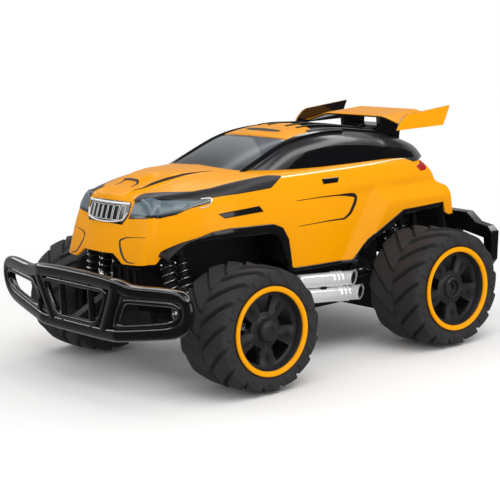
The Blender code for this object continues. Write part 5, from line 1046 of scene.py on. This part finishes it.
WINDOW_LOW = [(19.2, 60.3, 155.4), (-16.2, 63.4, 155.2), (-61.8, 65.1, 154.5), (-128.5, 64.2, 152.9)]
SCREEN_LOW = [(48.2, 51.7, 158.8), (58, 40, 160.6), (63.2, 23.3, 161.9), (63.5, 0, 162.6)]
SCREEN_TOP = [(-2.9, 47.1, 179.2), (2, 36, 181), (5.6, 17.8, 182.4), (6.3, 0, 182.7)]
PILLAR = [(53, 49.5, 160), (24, 48, 171), (-3, 46, 180), (-22, 46, 184), (-62, 45, 182)]


def whole(half):
    """A line of the left half and its mirror, as one line from left to right."""
    half = np.asarray(half, float)
    return rounded(np.concatenate([half, (half * MIRROR)[-2::-1]]), 2)


pads("wing_vents", BLACK_GLOSS, VENT_TOP, VENT_LOW, (12, 60), 0.5)
pads("door_handles", BLACK_GLOSS, HANDLE_TOP, HANDLE_LOW, (12, 40), 0.6)
ribbons("door_lines", GROOVE_SHADE, DOOR, DOOR_WIDTHS, 0.12, 110, 1)
# painted highlight: the pale strip under each side window is where the shoulder catches the light
ribbons("belt_painted_highlight", PAINTED_HIGHLIGHT, HIGHLIGHT_LINE, 1.5, 0.15)
pads("side_windows", GLASS_BLACK, rounded(WINDOW_TOP, 2), WINDOW_LOW, (24, 110), 0.35, surface=greenhouse)
piece("windscreen", pad(between(whole(SCREEN_TOP), whole(SCREEN_LOW), 40, 90), greenhouse, 0.35), WINDSCREEN)
ribbons("pillar_rails", BLACK_GLOSS, PILLAR, 3.2, 2.8, 90, surface=greenhouse)

# %% [markdown]
# ## Roof and tail
# The orange roof panel starts at the windscreen's top edge and ends in a shallow vee. A slot, a dark strip of
# painted shade, crosses it near the front, and black ribs run back over it to the wing. Red lamps wrap the
# rear corners, and a line of painted groove shade marks the tailgate.

# %% Roof and tail
SLOT = [(-12.5, -22, 187), (-11, 0, 188), (-12.5, 22, 187)]
RIBS = [[(-28, y, 189), (-70, y, 186), (-122, y * 0.85, 177)] for y in (-40, -26, -12, 12, 26, 40)]
TAIL_TOP = [(-138, 40, 147.5), (-138, 56, 147.5), (-132, 66, 147.8), (-124, 72, 148)]
TAIL_LOW = [(-141, 40, 140), (-141, 58, 140), (-135, 69, 140.5), (-128, 73, 142)]
GATE = [(-145, 40, 136), (-147, 54, 134), (-158, 54, 112), (-160, 48, 108), (-161, 0, 108)]


def roof_grid():
    """Across: a width that narrows to the rear. Along: from a bowed front edge to a rear edge like a vee."""
    t, u = closer(50)[:, None], 2.0 * closer(60)[None] - 1.0
    y = u * np.interp(t, [0.0, 0.5, 1.0], [47.0, 44.0, 39.0])
    front, rear = 3.5 - 6.5 * u**2, -44.0 + 8.0 * np.abs(u)
    return np.stack([front + t * (rear - front), y, np.full_like(y, 186.0)], -1)


roof_skin = piece("roof_skin", pad(roof_grid(), greenhouse, 0.9, 1.2), ORANGE, ["roof_panel"])
piece("roof_slot", ribbon(SLOT, [4.0, 6.5, 6.5, 6.5, 4.0], 0.3, surface=roof_skin), GROOVE_SHADE)
piece("roof_ribs", together(*[ribbon(line, 2.6, 1.8, 70, surface=greenhouse) for line in RIBS]), BLACK_GLOSS)
lenses = ["tail_light_left", "tail_light_right"]
pads("tail_lamps", RED_LENS, TAIL_TOP, TAIL_LOW, (14, 60), 0.8, lenses, edge=1.2)
ribbons("tailgate_lines", GROOVE_SHADE, GATE, 0.9, 0.1, 70, 1)

# %% [markdown]
# ## Arch trims and liners
# A rounded black moulding follows the shell's lower edge from nose to tail: thin at the nose and under the
# sill, deep over the arches. Inside each arch a liner closes the space between the shell and the tub.

# %% Arch trims and liners
TRIM = [
    (143.5, 107.5), (119.5, 118), (104.5, 122), (88.5, 123), (44, 120), (33.5, 115.5), (27.5, 105), (25, 86),
    (24.8, 80), (18, 79.8), (-35, 77.4), (-41.5, 77), (-46, 81.5), (-57.5, 93), (-97.5, 113), (-140, 112.6),
    (-145.5, 112.4),
]
TRIM_X = [-145, -97, -57, -42, 24, 27, 60, 95, 119, 143]
TRIM_DEPTH = [4.0, 4.6, 5.0, 3.0, 3.0, 8.0, 8.0, 7.5, 3.5, 1.8]
TRIM_WIDTH, TRIM_POINTS = 4.2, 320
LINER_ROWS, LINER_WALL, TUB_HEIGHT = ((72.0, 0.0), (60.0, 3.0), (36.0, 6.0), (34.0, 5.0)), 1.2, 80.0
FRONT_ARCH = [
    (146, 104), (143.5, 109), (119.5, 119.5), (88.5, 124.5), (44, 121.5), (33.5, 117), (28, 106), (26, 82),
]
REAR_ARCH = [(-44, 80), (-57.5, 95), (-97.5, 115), (-144, 114.5), (-149, 110), (-155, 101), (-158, 74)]


def arch_trim(sign):
    """An oval section, as deep as the table says, along the shell's edge; it sits deeper behind the door."""
    x, z = evenly(rounded(TRIM, 2), TRIM_POINTS).T
    deep = np.interp(x, TRIM_X, TRIM_DEPTH)
    line = laid_on(np.stack([x, np.full_like(x, sign * 76.0), z], -1), body_panels)
    section = oval(TRIM_WIDTH, 1.0, 20, 4.0) * np.stack([np.ones_like(deep), deep], -1)[:, None]
    inwards = np.where(line[:, 0] < -45.0, -1.8, -0.9)
    section = (section + np.stack([inwards, deep / 2 - 0.4], -1)[:, None]) * (1.0, sign)
    return carried(line, section, (0.0, sign, 0.0))


def arch_liner(arch, sign, wall_front, wall_rear):
    """Over the wheel from the shell inwards, then down to the tub between two places along x."""
    x, z = evenly(rounded(arch, 2), 90).T
    low = np.where((x < wall_front) & (x > wall_rear), TUB_HEIGHT, z + 5.0)
    rows = [(y, z + rise) for y, rise in LINER_ROWS]
    rows.append((LINER_ROWS[-1][0], np.minimum(low, z + 4.9)))
    return sheet_of(np.stack([np.stack([x, np.full_like(x, sign * y), h], -1) for y, h in rows]))


for hand, sign in HANDS:
    piece(f"arch_trim_{hand}", arch_trim(sign), BLACK_GLOSS, [f"side_trim_{hand}"], sharp=50.0)
    liners = together(arch_liner(FRONT_ARCH, sign, 118.0, 20.0), arch_liner(REAR_ARCH, sign, -50.0, -104.0))
    walled(piece(f"arch_liners_{hand}", liners, NYLON, closed=False), LINER_WALL, NYLON)

# %% [markdown]
# ## Bull bar
# The front bar is a frame of thick round tube, bent back towards its ends: one outer loop, two slanting
# members and two thin uprights, on two stays from the bulkhead. A round bead runs inside each of its three
# windows.

# %% Bull bar
LOOP = np.array([
    (56, 91.5), (66, 86.2), (118, 88), (131, 86.5), (132, 70), (122, 60.5), (98, 56.5), (62, 51.5),
    (46, 49.5),
])
SIDE_WINDOW = [(64, 79.5), (118, 81.5), (125, 79.5), (125.5, 72), (117, 66.5), (98, 63), (64, 58.2), (54, 59)]
MIDDLE_WINDOW = [(48, 84.8), (31, 55.8), (-31, 55.8), (-48, 84.8)]
STAY = [(140.8, 62), (184, 47.5), (187, 52), (184, 54), (140.8, 74)]
TUBE, MEMBER, UPRIGHT = oval(9.0, 11.0, 24, 2.5), oval(8.8, 12.0, 24, 2.5), oval(5.0, 5.0, 16, 2.6)
BAR_X, BAR_FALL, BAR_STRAIGHT, BAR_HALF = 185.5, 15.0, 54.0, 138.0
BEAD, BEAD_AHEAD, UPRIGHT_AHEAD = oval(5.0, 4.6, 16), 2.0, 1.5


def bar_path(outline, ahead=0.0):
    """Points (y, z) of the bar, some way ahead of its middle: x falls back beyond a straight part."""
    y, z = np.asarray(outline, float).T
    beyond = np.clip((np.abs(y) - BAR_STRAIGHT) / (BAR_HALF - BAR_STRAIGHT), 0.0, 1.0)
    return np.stack([BAR_X - BAR_FALL * beyond + ahead, y, z], -1)


def filleted(outline, reach):
    """A closed outline whose corners are parabolas, each from reach before its corner to reach after it."""
    corner = np.asarray(outline, float)
    edges = [np.roll(corner, by, axis=0) - corner for by in (1, -1)]
    shares = [np.minimum(reach / np.linalg.norm(edge, axis=1, keepdims=True), 0.45) for edge in edges]
    first, last = ((corner + edge * share)[:, None] for edge, share in zip(edges, shares))
    t = np.linspace(0.0, 1.0, 9)[:, None]
    return ((1 - t) ** 2 * first + 2 * t * (1 - t) * corner[:, None] + t**2 * last).reshape(-1, 2)


loop = rounded(np.concatenate([LOOP, LOOP[::-1] * (-1, 1)]), 1, closed=True)
bars = [
    carried(bar_path(rounded(evenly_round(loop, 48), 3, closed=True)), TUBE, closed=True),
    carried(bar_path(filleted(MIDDLE_WINDOW, 11.0), BEAD_AHEAD), BEAD, closed=True),
]
stays = []
for _, sign in HANDS:
    window = filleted(np.array(SIDE_WINDOW) * (sign, 1), 8.0)
    bars += [
        carried(bar_path(window, BEAD_AHEAD), BEAD, closed=True),
        carried(bar_path(evenly([(sign * 57, 89), (sign * 36, 50)], 24)), MEMBER),
        carried(bar_path(evenly([(sign * 21, 90), (sign * 21, 51)], 12), UPRIGHT_AHEAD), UPRIGHT),
    ]
    stays.append(plate(STAY, "y", *sorted((sign * 10.0, sign * 20.0))))
piece("bull_bar_tubes", together(*bars), BLACK_GLOSS, ["bull_bar"], sharp=50.0)
bevelled(piece("bull_bar_stays", together(*stays), NYLON), 0.5)

# %% [markdown]
# ## Wing
# The rear wing is a thin plate, flat in the middle and sloping down to two raked end fins. It is painted on
# top and on the fins' outer faces, and bare black below and inside.

# %% Wing surfaces
WING_HALF, WING_FALL = 68.2, 8.0
FIN_FRONT, FIN_REAR = [(-104.5, 179.5), (-108, 185), (-113.5, 190), (-119, 192)], [(-169, 195), (-160, 178.5)]
FIN = np.concatenate([rounded(FIN_FRONT, 2), FIN_REAR])


def wing_plate(low, high, front, rear):
    """Section: a chord with a round nose, carried over a height that falls beyond |y| of 34."""
    y = np.linspace(-WING_HALF, WING_HALF, 90)
    fall = WING_FALL * (0.55 * step(np.abs(y), 34.0, 68.5) + 0.45 * np.clip((np.abs(y) - 36.0) / 33.5, 0, 1))
    x = front + (rear - front) * closer(28)
    rise = 1.5 * (x - front) / (rear - front)
    nose = np.exp(-(((x - front) / 1.6) ** 2))
    upper, lower = high - 0.9 * nose + rise, low + 0.5 * nose + rise
    section = np.concatenate([np.stack([x, upper], -1), np.stack([x, lower], -1)[::-1]])
    points = np.empty((len(y), len(section), 3))
    points[..., 0] = section[:, 0]
    points[..., 1] = y[:, None]
    points[..., 2] = section[:, 1] - fall[:, None]
    return sheet_of(points, wrap_columns=True)


piece("wing_skin", wing_plate(188.9, 190.0, -117.0, -158.0), ORANGE, ["wing"])
piece("wing_underside", wing_plate(187.8, 188.8, -117.6, -157.6), BLACK_GLOSS)
for hand, sign in HANDS:
    for name, inner, outer, finish, edge in (
        ("wing_fin", 68.2, 69.5, ORANGE, 0.4), ("wing_fin_lining", 67.1, 68.15, BLACK_GLOSS, 0.3),
    ):
        fin = plate(FIN, "y", *sorted((sign * inner, sign * outer)))
        bevelled(piece(f"{name}_{hand}", fin, finish), edge)

# %% [markdown]
# ## Pipes
# Two chrome-plated pipes rise a little forwards under each sill. They are turned: a rounded front, three
# ridges and an open tail, which is cut at a slant.

# %% Pipe surfaces
PIPE_RADIUS, PIPE_LENGTH, PIPE_Y, PIPE_AXIS = 6.2, 62.0, 71.5, (1.0, 0.0, 0.1)
PIPE_TAILS, PIPE_SLANT, SLANT_RUN = ((-46.0, 60.5), (-53.0, 47.0)), 1.5, 13.0
MOUTH = [(0, 6.4), (5.1, 6.4), (4.8, 0.8), (5.4, 0.1), (6.3, 0.05)]
BORE = [(0, 6), (4.9, 6), (4.7, 0.7)]
CLAMP = rounded([(66, 50), (75, 50), (75, 65), (66, 65)], 2, closed=True)
STRUT = np.array([(50.4, 49.8), (71, 49.8), (71, 56.8), (50.4, 56.8)])


def pipe_line():
    """Radius along the pipe from its tail: a rolled mouth, three round ridges and a domed front."""
    along = np.linspace(0.0, PIPE_LENGTH, 160)
    ridge = sum(0.7 * np.exp(-(((along - c) / 1.5) ** 2)) for c in (17.0, 21.5, 26.0))
    radius = PIPE_RADIUS + ridge + 0.5 * np.exp(-((along / 1.6) ** 2))
    dome = np.linspace(0.0, math.pi / 2, 12)
    front = np.stack([PIPE_RADIUS * np.cos(dome), PIPE_LENGTH + 2.0 * np.sin(dome)], -1)
    return np.concatenate([MOUTH, np.stack([radius, along], -1)[1:], front])


def slanted_pipe(profile, x, z, sign):
    """A turned pipe whose tail looks outwards: x grows by a share of y from the axis, less forwards."""
    vertices, faces = turned(profile, (x, sign * PIPE_Y, z), PIPE_AXIS, 40)
    share = np.clip(1.0 - (vertices[:, 0] - x) / SLANT_RUN, 0.0, 1.0)
    vertices[:, 0] += PIPE_SLANT * (sign * vertices[:, 1] - PIPE_Y) * share
    return vertices, faces


for hand, sign in HANDS:
    pipes, bores = ([slanted_pipe(line, x, z, sign) for x, z in PIPE_TAILS] for line in (pipe_line(), BORE))
    piece(f"pipes_{hand}", together(*pipes), CHROME, [f"exhaust_{hand}"])
    piece(f"pipe_bores_{hand}", together(*bores), NYLON, closed=False)
    bracket = together(plate(CLAMP * (sign, 1), "x", -12, -6), plate(STRUT * (sign, 1), "x", -11, -7))
    bevelled(piece(f"pipe_bracket_{hand}", bracket, NYLON), 0.5)


# %% [markdown]
# ## Finish
# The skins get their thickness last, because the pads above were laid on their outer faces.

# %% Finish
BODY_WALL, CABIN_WALL = 2.0, 1.6
walled(body_panels, BODY_WALL, BLACK_GLOSS)
walled(greenhouse, CABIN_WALL, BLACK_GLOSS)
